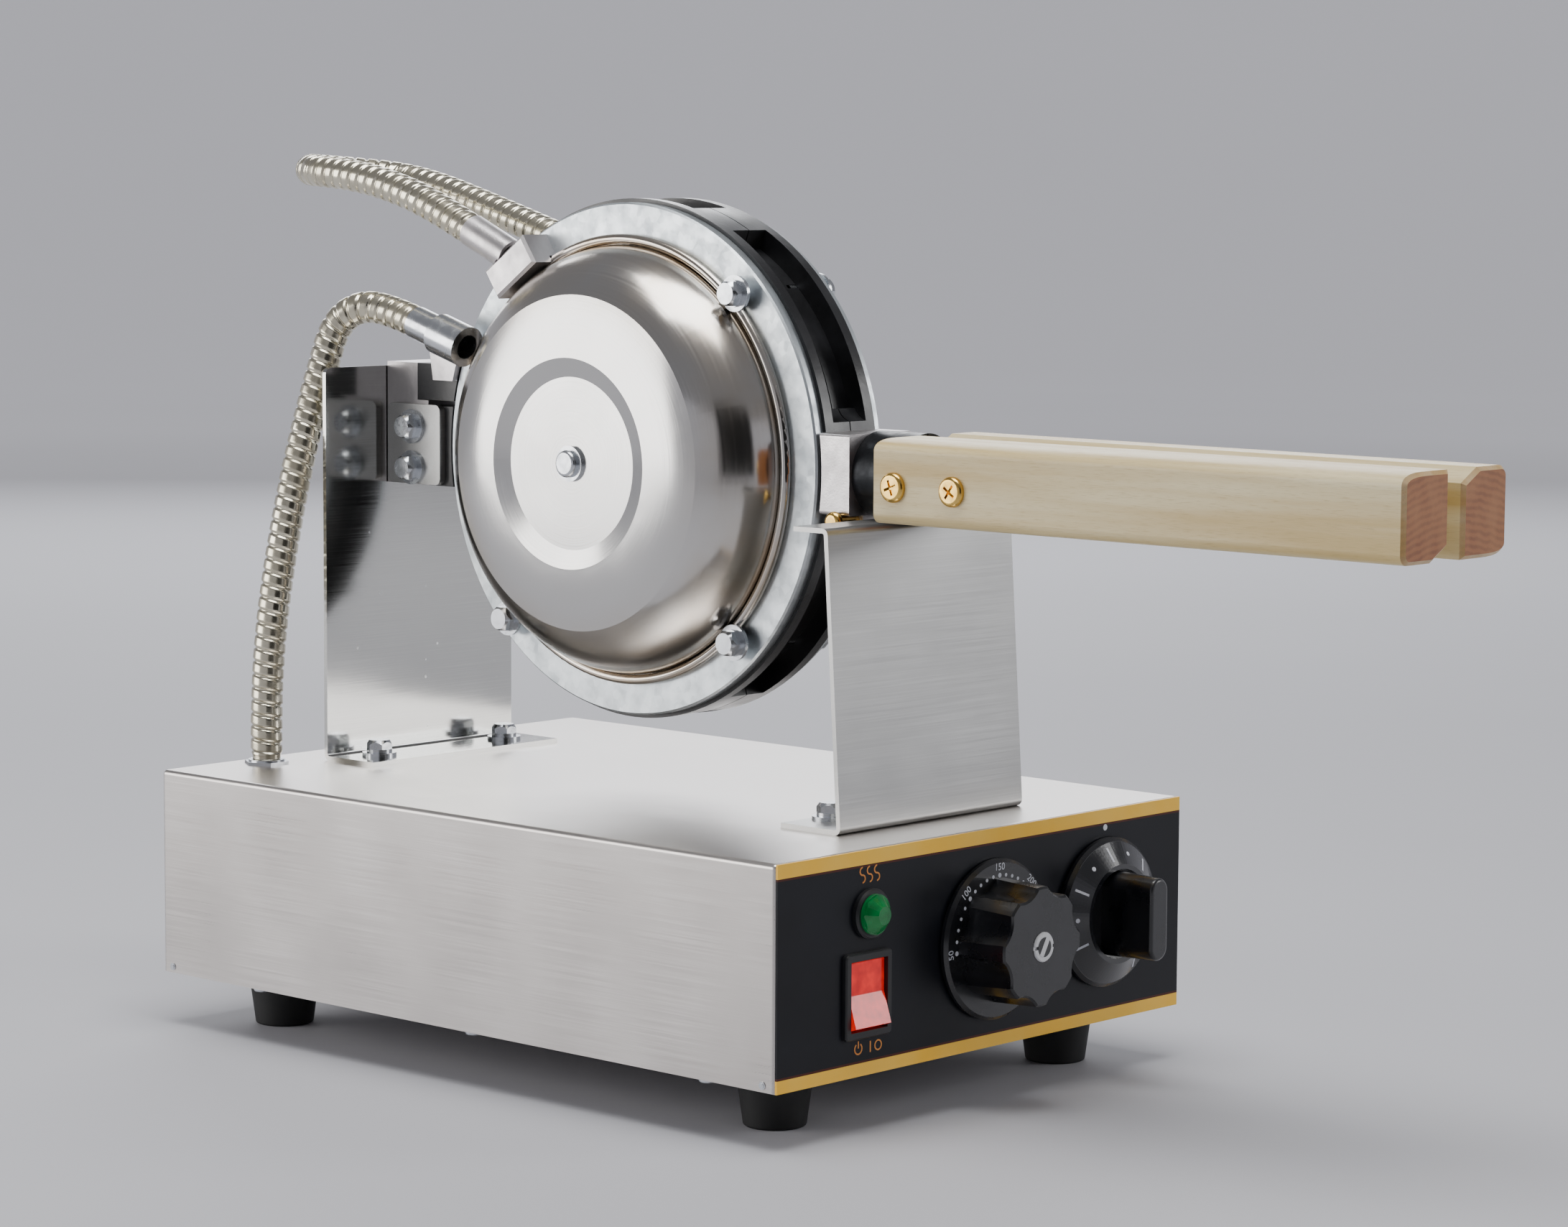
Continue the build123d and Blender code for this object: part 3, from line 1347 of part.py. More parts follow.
nodes = {
    "base_shell": base_shell(),
    "label_panel": label_panel(),
    "bottom_plate": bottom_plate(),
    "base_screws": group(base_screws() + block_screws()),
    "feet": feet(),
    "foot_screws": foot_screws(),
    "rear_upright": rear_upright(),
    "front_upright": front_upright(),
    "upright_bolts": upright_bolts(),
    "swivel_bush": swivel_bush(),
    "swivel_yoke": swivel_yoke(),
    "shaft_nut": shaft_nut(),
    "hinge_pin": hinge_pin(),
    "leaf_a": leaf_a(),
    "yoke_fasteners": group(leaf_a_bolts() + yoke_screws()),
    "leaf_b": leaf_b(),
    "leaf_b_bolts": leaf_b_bolts(),
    "pan_a": pan_a(),
    "pan_b": pan_b(),
    "stop_screw": stop_screw(),
    "grip_a": grip_a(),
    "grip_b": about_axis(grip_a()),
    "grip_screws_a": group(grip_screws_a()),
    "grip_screws_b": group(about_axis(screw) for screw in grip_screws_a()),
    "conduit_main": ribbed_hose(main_route, (1, 0, 0)),
    "conduit_jumper": ribbed_hose(jumper_route, (0, 0, 1)),
    "main_socket": main_socket(),
    "socket_strap": socket_strap(),
    "conduit_gland": conduit_gland(),
    "switch_housing": group([switch_housing()] + switch_blades()),
    "rocker": rocker(),
    "lamp_bezel": lamp_bezel(),
    "lamp_lens": lamp_lens(),
    "thermostat_knob": thermostat_knob(),
    "thermostat_cap": thermostat_cap(),
    "thermostat_spindle": spindle(dial_x, dial_z),
    "thermostat_body": thermostat_body(),
    "timer_knob": timer_knob(),
    "timer_spindle": spindle(timer_x, timer_z),
    "timer_body": timer_body(),
    "terminal_block": terminal_block(),
    "cable_gland": cable_gland(),
}
for tag, side in (("a", -1), ("b", 1)):
    nodes["ring_" + tag] = ring(side)
    nodes["dome_" + tag] = dome_cover(side)
    nodes["dome_screw_" + tag] = dome_screw(side)
    nodes["ring_bolts_" + tag] = ring_bolts(side)
    nodes["heater_" + tag] = group(heating_stack(side))
    nodes["insulation_" + tag] = insulation(side)
    nodes["lug_" + tag] = handle_lug(side)
    nodes["journal_" + tag] = journal(side)
    nodes["jumper_clamp_" + tag] = group([jumper_clamp(side), jumper_ferrule(side)])

# From the base box's centre to the middle of the whole machine
rear_end_y = rear_wall_y + inlet_flange_t + inlet_cap_l
to_origin = Pos(0, -(grip_end_y + rear_end_y) / 2, 0)

for name, node in nodes.items():
    moved = Compound([to_origin * solid for solid in node.solids()])
    export_step(moved, f"parts/{name}.step")
print(len(nodes), "nodes")
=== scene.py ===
"""Looks of a countertop bubble waffle maker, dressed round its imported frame.

Lengths in the classes are millimetres; everything given to Blender is metres.
"""

from __future__ import annotations

import logging
import math
from dataclasses import dataclass
from enum import Enum

import bmesh
import bpy
from mathutils import Matrix, Vector


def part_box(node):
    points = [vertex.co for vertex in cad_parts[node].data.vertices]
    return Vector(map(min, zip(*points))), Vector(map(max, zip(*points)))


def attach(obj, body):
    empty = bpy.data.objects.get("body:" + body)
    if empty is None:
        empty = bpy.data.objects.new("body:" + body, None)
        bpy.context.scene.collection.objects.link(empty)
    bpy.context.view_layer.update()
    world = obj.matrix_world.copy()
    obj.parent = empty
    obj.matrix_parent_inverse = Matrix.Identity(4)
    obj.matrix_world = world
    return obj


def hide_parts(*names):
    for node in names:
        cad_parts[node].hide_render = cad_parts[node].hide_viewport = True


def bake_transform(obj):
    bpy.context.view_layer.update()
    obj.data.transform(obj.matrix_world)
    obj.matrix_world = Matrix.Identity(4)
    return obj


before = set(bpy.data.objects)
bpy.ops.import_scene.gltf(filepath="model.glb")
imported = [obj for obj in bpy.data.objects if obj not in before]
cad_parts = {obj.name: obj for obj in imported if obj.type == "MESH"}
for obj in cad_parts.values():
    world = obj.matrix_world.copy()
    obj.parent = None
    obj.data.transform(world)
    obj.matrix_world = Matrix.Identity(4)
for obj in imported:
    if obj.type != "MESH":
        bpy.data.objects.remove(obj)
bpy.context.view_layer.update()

log = logging.getLogger("waffle_maker")

MM = 0.001
EM_PER_DIGIT = 1.4
# Underside and face of the ink on the panel, on a dial's skirt and on the timer's cone
PANEL_INK = (-0.01, 0.06)
SKIRT_INK = (-0.02, 0.06)
CONE_INK = (-0.05, 0.06)

Socket = bpy.types.NodeSocket
Triple = tuple[float, float, float]
Pair = tuple[float, float]
Size = float | Triple
Finishes = tuple[tuple["Finish", str], ...]


class Grain(Enum):
    """Direction in which a sheet was brushed or a timber grew."""

    X = (1.0, 0.0, 0.0)
    Y = (0.0, 1.0, 0.0)
    Z = (0.0, 0.0, 1.0)


def linear(colour: str) -> tuple[float, float, float, float]:
    """Turn an sRGB hex colour into linear values.

    Args:
        colour: Six hex digits with a leading hash.

    Returns:
        Red, green and blue in linear light, and an alpha of one.
    """
    channels = [int(colour[start : start + 2], 16) / 255 for start in (1, 3, 5)]
    light = [c / 12.92 if c <= 0.04045 else ((c + 0.055) / 1.055) ** 2.4 for c in channels]
    return (light[0], light[1], light[2], 1.0)


def node_centre(name: str) -> Vector:
    """Middle of a frame node's box, in metres."""
    low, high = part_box(name)
    return (low + high) / 2


BASE_SHIFT = Vector((0.0, node_centre("bottom_plate").y, 0.0))


def from_base(x: float, y: float, z: float) -> Vector:
    """Point given in millimetres from the middle of the base, under the feet, in metres."""
    return Vector((x, y, z)) * MM + BASE_SHIFT


def linked(name: str, data: bpy.types.ID) -> bpy.types.Object:
    """Put an object in the scene.

    Args:
        name: Name of the object.
        data: Its mesh, curve, camera or light.

    Returns:
        The new object.
    """
    made = bpy.data.objects.new(name, data)
    bpy.context.scene.collection.objects.link(made)
    return made


def turn_by(degrees: float, axis: str = "Z") -> Matrix:
    """Rotation about one axis."""
    return Matrix.Rotation(math.radians(degrees), 4, axis)


class Canvas:
    """A new material with its principled shader and its place on the object."""

    def __init__(self, name: str, colour: str, **sockets: object) -> None:
        """Make the material.

        Args:
            name: Name of the material.
            colour: Base colour as a hex string.
            **sockets: Values of the shader's other sockets, with spaces as underscores.
        """
        self.material = bpy.data.materials.new(name)
        self.material.use_nodes = True
        self.tree = self.material.node_tree
        self.tree.nodes.clear()
        named = {key.replace("_", " "): value for key, value in sockets.items()}
        self.shader = self.add("BsdfPrincipled", {"Base Color": linear(colour), **named})
        self.add("OutputMaterial", {"Surface": self.shader.outputs["BSDF"]})
        self.coords = self.add("TexCoord")
        self.place = self.coords.outputs["Object"]

    def add(self, kind: str, sockets: dict | None = None, **settings: object) -> bpy.types.Node:
        """Add a node with its settings and links.

        Args:
            kind: Type of the node, without its ShaderNode prefix.
            sockets: Input names or numbers, each with a value or a socket to link from.
            **settings: Properties of the node itself.

        Returns:
            The new node.
        """
        node = self.tree.nodes.new("ShaderNode" + kind)
        for key, value in settings.items():
            setattr(node, key, value)
        for key, value in (sockets or {}).items():
            if isinstance(value, Socket):
                self.tree.links.new(value, node.inputs[key])
            else:
                node.inputs[key].default_value = value
        return node

    def feed(self, socket: str, source: Socket) -> None:
        """Link a pattern into one of the shader's sockets."""
        self.tree.links.new(source, self.shader.inputs[socket])

    def paint(self, factor: Socket, first: object, second: object) -> None:
        """Mix two colours into the base colour, as blend does."""
        self.feed("Base Color", self.blend(factor, first, second))

    def stretched(self, size: Size) -> Socket:
        """Place on the object, counted in pattern lengths.

        Args:
            size: Length of the pattern, or its lengths along X, Y and Z, in millimetres.

        Returns:
            A vector socket that grows by one for each pattern length.
        """
        lengths = size if isinstance(size, tuple) else (size,) * 3
        scale = tuple(1 / (MM * length) for length in lengths)
        mapping = self.add("Mapping", {"Vector": self.place, "Scale": scale})
        return mapping.outputs["Vector"]

    def noise(self, size: Size, detail: float = 2.0) -> Socket:
        """Soft noise with a real size.

        Args:
            size: Size of the noise, or its sizes along X, Y and Z, in millimetres.
            detail: Octaves of finer noise.

        Returns:
            A factor socket, mostly between 0.3 and 0.7.
        """
        sockets = {"Vector": self.stretched(size), "Scale": 1.0, "Detail": detail}
        return self.add("TexNoise", sockets).outputs["Fac"]

    def remap(self, source: Socket, low: float, high: float, start: float = 0.3,
              end: float = 0.7) -> Socket:
        """Stretch a factor over a new range.

        Args:
            source: Factor to stretch.
            low: Value given at start.
            high: Value given at end.
            start: Source value that gives low.
            end: Source value that gives high.

        Returns:
            The stretched value.
        """
        sockets = {"Value": source, "From Min": start, "From Max": end, "To Min": low, "To Max": high}
        return self.add("MapRange", sockets).outputs["Result"]

    def blend(self, factor: Socket, first: object, second: object) -> Socket:
        """Mix two colours.

        Args:
            factor: Share of the second colour.
            first: Colour socket or hex string.
            second: Colour socket or hex string.

        Returns:
            The mixed colour.
        """
        colours = [linear(c) if isinstance(c, str) else c for c in (first, second)]
        sockets = {0: factor, 6: colours[0], 7: colours[1]}
        return self.add("Mix", sockets, data_type="RGBA").outputs[2]

    def math(self, operation: str, *values: object) -> Socket:
        """Work out a number from sockets or plain numbers."""
        sockets = dict(enumerate(values))
        return self.add("Math", sockets, operation=operation).outputs[0]

    def axis(self, source: Socket, letter: str) -> Socket:
        """One component of a vector."""
        return self.add("SeparateXYZ", {0: source}).outputs[letter]

    def radius(self, centre: Triple, keep: Triple) -> Socket:
        """Distance from an axis, in metres.

        Args:
            centre: Point on the axis, in metres.
            keep: One for each direction that counts, and zero along the axis.

        Returns:
            The distance's socket.
        """
        offset = self.add("VectorMath", {0: self.place, 1: centre}, operation="SUBTRACT").outputs[0]
        flat = self.add("VectorMath", {0: offset, 1: keep}, operation="MULTIPLY").outputs[0]
        return self.add("VectorMath", {0: flat}, operation="LENGTH").outputs["Value"]

    def relief(self, height: Socket, depth: float) -> None:
        """Give the surface a fine relief, where a step of one in height is depth millimetres."""
        bump = self.add("Bump", {"Height": height, "Distance": depth * MM, "Strength": 1.0})
        self.feed("Normal", bump.outputs["Normal"])


@dataclass(frozen=True)
class Finish:
    """A surface finish with a name and a main colour."""

    name: str
    colour: str

    def canvas(self) -> Canvas:
        """Build the material's nodes."""
        raise NotImplementedError

    def material(self) -> bpy.types.Material:
        """The finish's material, made once."""
        found = bpy.data.materials.get(self.name)
        return found or self.canvas().material


@dataclass(frozen=True)
class BrushedStainless(Finish):
    """Stainless sheet brushed one way with fine grit: silky, with hair lines."""

    grain: Grain = Grain.Y
    roughness: float = 0.28
    spread: float = 0.08
    speck: float = 0.0
    hair_w: float = 0.5
    hair_l: float = 60.0
    smudge: float = 45.0
    speck_gap: float = 9.0
    speck_patch: float = 40.0

    def canvas(self) -> Canvas:
        """Build hair lines along the grain, soft smudges and, where asked, dried specks."""
        canvas = Canvas(self.name, self.colour, Metallic=1.0)
        # Real hair lines are about 0.1 mm wide; drawn wider so that they show
        hair = canvas.noise(tuple(self.hair_l if along else self.hair_w for along in self.grain.value), 3.0)
        smudge = canvas.noise(self.smudge)
        mixed = canvas.math("ADD", canvas.remap(hair, -0.5, 0.5), canvas.remap(smudge, -0.35, 0.35))
        rough = canvas.remap(mixed, self.roughness - self.spread, self.roughness + self.spread, -0.8, 0.8)
        shade = canvas.remap(mixed, 0.0, 1.0, -0.8, 0.8)
        tint = canvas.blend(shade, self.colour, "#FFFFFF")
        tone = canvas.blend(canvas.remap(shade, 0.0, 0.18, 0.0, 1.0), self.colour, tint)
        if self.speck:
            spots = {"Vector": canvas.stretched(self.speck_gap), "Scale": 1.0}
            cell = canvas.add("TexVoronoi", spots).outputs["Distance"]
            dot = canvas.remap(cell, 1.0, 0.0, 0.05, 0.09)
            patch = canvas.remap(canvas.noise(self.speck_patch), 0.0, 1.0, 0.48, 0.62)
            low = canvas.remap(canvas.axis(canvas.place, "Z"), 1.0, 0.0, 0.16, 0.24)
            mark = canvas.math("MULTIPLY", canvas.math("MULTIPLY", dot, patch), low)
            mark = canvas.math("MULTIPLY", mark, self.speck)
            rough = canvas.math("ADD", rough, canvas.math("MULTIPLY", mark, 0.5))
            tone = canvas.blend(mark, tone, "#FFFFFF")
        canvas.feed("Base Color", tone)
        canvas.feed("Roughness", rough)
        canvas.relief(hair, 0.006)
        return canvas


@dataclass(frozen=True)
class SpunStainless(Finish):
    """Stainless sheet spun on a lathe: satin, with fine turning lines round the centre."""

    centre: Triple = (0.0, 0.0, 0.0)
    roughness: float = 0.17
    heat: str = "#B7A58C"
    turn_gap: float = 0.8
    wipe: float = 30.0
    heat_from: float = 60.0
    heat_to: float = 90.0

    def canvas(self) -> Canvas:
        """Build turning lines, wiping marks and a faint straw heat tint near the rim."""
        canvas = Canvas(self.name, self.colour, Metallic=1.0, Anisotropic=0.35)
        radius = canvas.radius(self.centre, (0.0, 1.0, 1.0))
        # Turning lines lie 0.3 mm apart on the real sheet; drawn wider apart so that they show
        turns = canvas.math("MULTIPLY", radius, 1 / (self.turn_gap * MM))
        lines = canvas.add("TexNoise", {"W": turns, "Scale": 1.0, "Detail": 2.0}, noise_dimensions="1D")
        turned = canvas.remap(lines.outputs["Fac"], -0.3, 0.3)
        wipe = canvas.noise(self.wipe, 3.0)
        mixed = canvas.math("ADD", turned, canvas.remap(wipe, -0.5, 0.5))
        low, high = self.roughness - 0.05, self.roughness + 0.07
        canvas.feed("Roughness", canvas.remap(mixed, low, high, -0.8, 0.8))
        rim = canvas.remap(radius, 0.0, 1.0, self.heat_from * MM, self.heat_to * MM)
        stain = canvas.math("MULTIPLY", rim, canvas.remap(wipe, 0.15, 0.75))
        canvas.paint(stain, self.colour, self.heat)
        tangent = canvas.add("Tangent", direction_type="RADIAL", axis="X")
        canvas.feed("Tangent", tangent.outputs["Tangent"])
        canvas.relief(lines.outputs["Fac"], 0.004)
        return canvas


@dataclass(frozen=True)
class MottledMetal(Finish):
    """Plated or galvanised steel, or cast and machined aluminium: cloudy, with soft gloss."""

    roughness: float = 0.3
    spread: float = 0.08
    dark: str = "#9AA0A4"
    clouds: float = 8.0
    mottle: float = 0.4
    spangle: float = 0.0
    pits: float = 0.0
    lustre: float = 1.0

    def canvas(self) -> Canvas:
        """Build clouds of two tones, crystals for hot zinc, and fine pits for a casting."""
        canvas = Canvas(self.name, self.colour, Metallic=self.lustre)
        cloud = canvas.noise(self.clouds, 4.0)
        shade = canvas.remap(cloud, 0.0, 1.0, 0.35, 0.7)
        if self.spangle:
            sockets = {"Vector": canvas.stretched(self.spangle), "Scale": 1.0}
            crystal = canvas.add("TexVoronoi", sockets).outputs["Color"]
            grey = canvas.math("MULTIPLY", canvas.axis(crystal, "X"), 0.35)
            shade = canvas.math("ADD", canvas.math("MULTIPLY", shade, 0.7), grey)
        share = canvas.math("MULTIPLY", shade, self.mottle)
        canvas.paint(share, self.colour, self.dark)
        low, high = self.roughness - self.spread, self.roughness + self.spread
        canvas.feed("Roughness", canvas.remap(shade, low, high, 0.0, 1.0))
        if self.pits:
            canvas.relief(canvas.noise(self.pits, 3.0), 0.05)
        return canvas


@dataclass(frozen=True)
class CoatedCasting(Finish):
    """Cast aluminium under satin black baked coating: dark, with a fine orange peel."""

    roughness: float = 0.36
    peel: float = 1.6
    rubbed: float = 22.0

    def canvas(self) -> Canvas:
        """Build the orange peel, rubbed patches and a little dust."""
        canvas = Canvas(self.name, self.colour, IOR=1.5, Coat_Weight=0.25, Coat_Roughness=0.18)
        rub = canvas.noise(self.rubbed, 3.0)
        canvas.feed("Roughness", canvas.remap(rub, self.roughness - 0.1, self.roughness + 0.12))
        canvas.paint(canvas.remap(rub, 0.0, 0.5, 0.4, 0.75), self.colour, "#26272B")
        canvas.relief(canvas.noise(self.peel, 3.0), 0.07)
        return canvas


@dataclass(frozen=True)
class SealedWood(Finish):
    """Pale sealed hardwood: straight grain along Y, darker reddish end grain."""

    streak: str = "#CBB175"
    end: str = "#A86A3C"
    end_dark: str = "#7E4724"
    roughness: float = 0.42
    streak_size: Triple = (5.0, 160.0, 7.0)
    broad_size: Triple = (18.0, 260.0, 14.0)
    pore_size: Triple = (0.35, 6.0, 0.35)
    ring_size: Triple = (5.5, 400.0, 9.0)
    end_patch: Triple = (7.0, 7.0, 12.0)

    def canvas(self) -> Canvas:
        """Build growth streaks, pores along the grain, and rings on the sawn ends."""
        canvas = Canvas(self.name, self.colour, IOR=1.48, Coat_Weight=0.15, Coat_Roughness=0.3)
        streaks = canvas.noise(self.streak_size, 4.0)
        broad = canvas.noise(self.broad_size)
        # Real pores are 0.1 mm wide and 2 mm long; drawn larger so that they show
        pores = canvas.noise(self.pore_size)
        wide = canvas.remap(broad, -0.1, 0.45, 0.4, 0.65)
        share = canvas.math("ADD", canvas.remap(streaks, 0.0, 0.7, 0.38, 0.66), wide)
        side = canvas.blend(share, self.colour, self.streak)
        side = canvas.blend(canvas.remap(pores, 0.0, 0.35, 0.56, 0.72), side, "#A98F5C")
        rings = canvas.stretched(self.ring_size)
        sockets = {"Vector": rings, "Scale": 1.0, "Distortion": 3.0, "Detail": 3.0}
        ring = canvas.add("TexWave", sockets, wave_type="RINGS", rings_direction="Y").outputs["Fac"]
        sawn = canvas.blend(canvas.remap(ring, 0.0, 0.6, 0.2, 0.9), self.end, self.end_dark)
        sawn = canvas.blend(canvas.remap(canvas.noise(self.end_patch), 0.0, 0.6), sawn, "#B97F4E")
        facing = canvas.math("ABSOLUTE", canvas.axis(canvas.coords.outputs["Normal"], "Y"))
        ends = canvas.remap(facing, 0.0, 1.0, 0.6, 0.85)
        canvas.paint(ends, side, sawn)
        canvas.feed("Roughness", canvas.remap(pores, self.roughness - 0.08, self.roughness + 0.12))
        canvas.relief(canvas.math("ADD", pores, streaks), 0.03)
        return canvas


@dataclass(frozen=True)
class MouldedPlastic(Finish):
    """Phenolic, ABS, urea or rubber from a mould: even colour with a slight skin."""

    roughness: float = 0.3
    coat: float = 0.0
    texture: float = 0.6
    worn: str = "#3A3D44"
    wear: float = 0.12
    marks: float = 14.0

    def canvas(self) -> Canvas:
        """Build the moulded skin, handling marks and small differences in gloss."""
        canvas = Canvas(self.name, self.colour, IOR=1.54, Coat_Weight=self.coat, Coat_Roughness=0.12)
        marks = canvas.noise(self.marks, 4.0)
        handled = canvas.remap(marks, 0.0, self.wear, 0.4, 0.7)
        canvas.paint(handled, self.colour, self.worn)
        canvas.feed("Roughness", canvas.remap(marks, self.roughness - 0.07, self.roughness + 0.1))
        canvas.relief(canvas.noise(self.texture), 0.02)
        return canvas


@dataclass(frozen=True)
class LitLens(Finish):
    """Clear tinted acrylic over a small lamp: bright skin, glow inside."""

    glow: str = "#FFFFFF"
    power: float = 0.3
    through: float = 0.35
    roughness: float = 0.12
    patch: float = 6.0

    def canvas(self) -> Canvas:
        """Build the tinted body with an uneven glow."""
        canvas = Canvas(
            self.name, self.colour, IOR=1.49, Roughness=self.roughness,
            Transmission_Weight=self.through, Emission_Color=linear(self.glow),
        )
        inside = canvas.noise(self.patch)
        canvas.feed("Emission Strength", canvas.remap(inside, 0.3 * self.power, self.power))
        canvas.paint(canvas.remap(inside, 0.0, 0.3), self.colour, self.glow)
        return canvas


@dataclass(frozen=True)
class PrintedPanel(Finish):
    """Polycarbonate overlay, printed near-black with a gold band at the top and bottom."""

    gold: str = "#FFC53A"
    edge: str = "#4A1D10"
    edge_w: float = 0.9
    low_band_top: float = 0.005
    high_band_foot: float = 0.083
    dust: float = 25.0
    skin: float = 0.7

    def canvas(self) -> Canvas:
        """Build the bands from the height on the panel, and the overlay's velvet skin."""
        canvas = Canvas(self.name, self.colour, IOR=1.45, Specular_IOR_Level=0.3)
        height = canvas.axis(canvas.place, "Z")
        line, band = (
            canvas.math(
                "ADD",
                canvas.math("LESS_THAN", height, self.low_band_top + reach),
                canvas.math("GREATER_THAN", height, self.high_band_foot - reach),
            )
            for reach in (self.edge_w * MM, 0.0)
        )
        dust = canvas.noise(self.dust, 4.0)
        ground = canvas.blend(canvas.remap(dust, 0.0, 0.35), self.colour, "#1A1D26")
        gold = canvas.blend(canvas.remap(dust, 0.0, 0.4), self.gold, "#FFD873")
        ground = canvas.blend(line, ground, self.edge)
        canvas.paint(band, ground, gold)
        canvas.feed("Roughness", canvas.remap(dust, 0.3, 0.42))
        canvas.relief(canvas.noise(self.skin), 0.01)
        return canvas


@dataclass(frozen=True)
class LitPaper(Finish):
    """Matt grey studio paper, lit by lamps of its own away from the middle."""

    glow: float = 0.55
    glow_start: float = 700.0
    glow_end: float = 4180.0
    clouds: float = 600.0

    def canvas(self) -> Canvas:
        """Build the paper's faint clouds and the light on its far parts."""
        canvas = Canvas(self.name, self.colour, Roughness=0.8, Emission_Color=linear(self.colour))
        cloud = canvas.noise(self.clouds, 3.0)
        canvas.paint(canvas.remap(cloud, 0.0, 0.3), self.colour, "#C6C6CB")
        radius = canvas.radius((0.0, 0.0, 0.0), (1.0, 1.0, 0.0))
        glow = canvas.remap(radius, 0.0, self.glow, self.glow_start * MM, self.glow_end * MM)
        canvas.feed("Emission Strength", glow)
        return canvas


@dataclass(frozen=True)
class FibrePad(Finish):
    """Needled ceramic fibre: white, matt and tangled."""

    fibre_size: Triple = (2.5, 0.6, 0.6)

    def canvas(self) -> Canvas:
        """Build tangled fibres and their soft relief."""
        canvas = Canvas(self.name, self.colour, Roughness=0.95, Sheen_Weight=0.3)
        fibres = canvas.noise(self.fibre_size, 4.0)
        canvas.paint(canvas.remap(fibres, 0.0, 0.5), self.colour, "#C9C5BA")
        canvas.relief(fibres, 0.4)
        return canvas


MOULD_CENTRE = (0.0, *node_centre("ring_a").yz)
PANEL_LOW, PANEL_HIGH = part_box("label_panel")

# 201 stainless, number 4 brush: silky grey with hair lines along the sheet
SHEET_SIDE = BrushedStainless("brushed_stainless_walls", "#C4BFBB", Grain.Y, 0.33, 0.06)
# Same sheet, front to back brush; wiped clean, so it mirrors softly
SHEET_UPRIGHT = BrushedStainless("brushed_stainless_upright", "#B4B4B2", Grain.X, 0.36, 0.08)
# Bright annealed sheet behind the mould: almost a mirror, with dried specks
SHEET_MIRROR = BrushedStainless("bright_stainless_rear", "#C2C2BF", Grain.X, 0.13, 0.05, speck=0.8)
# Deep drawn and spun stainless cover
SPUN = SpunStainless("spun_stainless_dome", "#C9C8C6", MOULD_CENTRE)
# Bright zinc plate on steel bolts and washers
ZINC = MottledMetal("bright_zinc_bolts", "#D3D6DA", 0.24, 0.07, "#9EA4AA", 4.0, 0.35)
# Hot-dip zinc with visible crystals
GALVANISED = MottledMetal("galvanised_ring", "#DDE3E6", 0.42, 0.08, "#8F989E", 9.0, 0.55, spangle=3.5)
# Aluminium casting, linished flat
CAST_BRIGHT = MottledMetal("linished_aluminium", "#CFCBCB", 0.36, 0.08, "#A7A3A4", 10.0, 0.4, pits=0.8)
# Steel oiled black by heat
OILED = MottledMetal("blackened_steel", "#26282B", 0.38, 0.1, "#121315", 7.0, 0.7, pits=1.2, lustre=0.8)
# Nickel on steel strip, slightly yellow
HOSE = MottledMetal("nickelled_strip_hose", "#D9D3BF", 0.24, 0.08, "#A39A80", 12.0, 0.45)
# Brass plate on steel screws
BRASS = MottledMetal("brass_plate", "#E2BD6B", 0.2, 0.06, "#A9803A", 3.0, 0.4)
# Plain rolled steel inside
PLAIN_STEEL = MottledMetal("rolled_steel", "#A9A9AA", 0.4, 0.1, "#7B7670", 14.0, 0.5)
# Cast aluminium pans, coated black and baked
PAN = CoatedCasting("black_coated_casting", "#0B0B0D")
# Pale hardwood, sealed and rounded over
WOOD = SealedWood("sealed_hardwood", "#E4D5A9")
# Glossy phenolic resin: black with a cool bloom
PHENOLIC = MouldedPlastic("black_phenolic", "#0D0E12", 0.28, 0.3)
# The same resin, polished where the mould was
GLOSSY = MouldedPlastic("polished_phenolic", "#0C0D12", 0.2, 0.6, 0.9, "#2B2E36", 0.2)
# Black ABS with a fine spark texture
ABS = MouldedPlastic("black_abs", "#101114", 0.42, 0.0, 0.4)
# Soft black rubber feet, matt and dusty
RUBBER = MouldedPlastic("moulded_rubber", "#0A0A0A", 0.62, 0.0, 0.9, "#2A2A2A", 0.25)
# White urea cap
UREA = MouldedPlastic("white_urea", "#DADBDD", 0.3, 0.2, 0.8, "#A8A9AC", 0.2)
# Glazed ceramic terminal block
STEATITE = MouldedPlastic("glazed_steatite", "#E3DED2", 0.22, 0.4, 1.2, "#B8AF9C", 0.2)
# Tan phenolic bodies of the thermostat and timer
BODY_RESIN = MouldedPlastic("tan_phenolic_body", "#7A6A55", 0.5, 0.0, 0.6, "#5A4B3A", 0.4)
# Rocker of clear red polycarbonate over a neon lamp
RED = LitLens("red_polycarbonate", "#D00A12", "#FF2A1C", 0.45, 0.15, 0.16)
# Faceted green acrylic lens
GREEN = LitLens("green_acrylic", "#04682F", "#12B863", 0.1, 0.45, 0.06)
# Printed polycarbonate front, its gold bands 5.2 and 5.6 mm wide
OVERLAY = PrintedPanel("printed_overlay", "#0B0C12", low_band_top=PANEL_LOW.z + 5.2 * MM,
                       high_band_foot=PANEL_HIGH.z - 5.6 * MM)
# Ceramic fibre blanket behind the heater
FIBRE = FibrePad("ceramic_fibre", "#E9E7DF")
# Screen-printed inks
WHITE_INK = MouldedPlastic("white_ink", "#D9DCE4", 0.5, 0.0, 0.5, "#A9ADB8", 0.3)
AMBER_INK = MouldedPlastic("amber_ink", "#D98A35", 0.5, 0.0, 0.5, "#B9601C", 0.3)


def dress(finishes: Finishes, tail: str = "") -> None:
    """Give frame nodes their finishes.

    Args:
        finishes: Each finish with the names of the nodes that it covers.
        tail: What follows each of these names in the frame.
    """
    for finish, names in finishes:
        for name in names.split():
            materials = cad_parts[name + tail].data.materials
            materials.clear()
            materials.append(finish.material())
            log.info("dressed %s with %s", name + tail, finish.name)


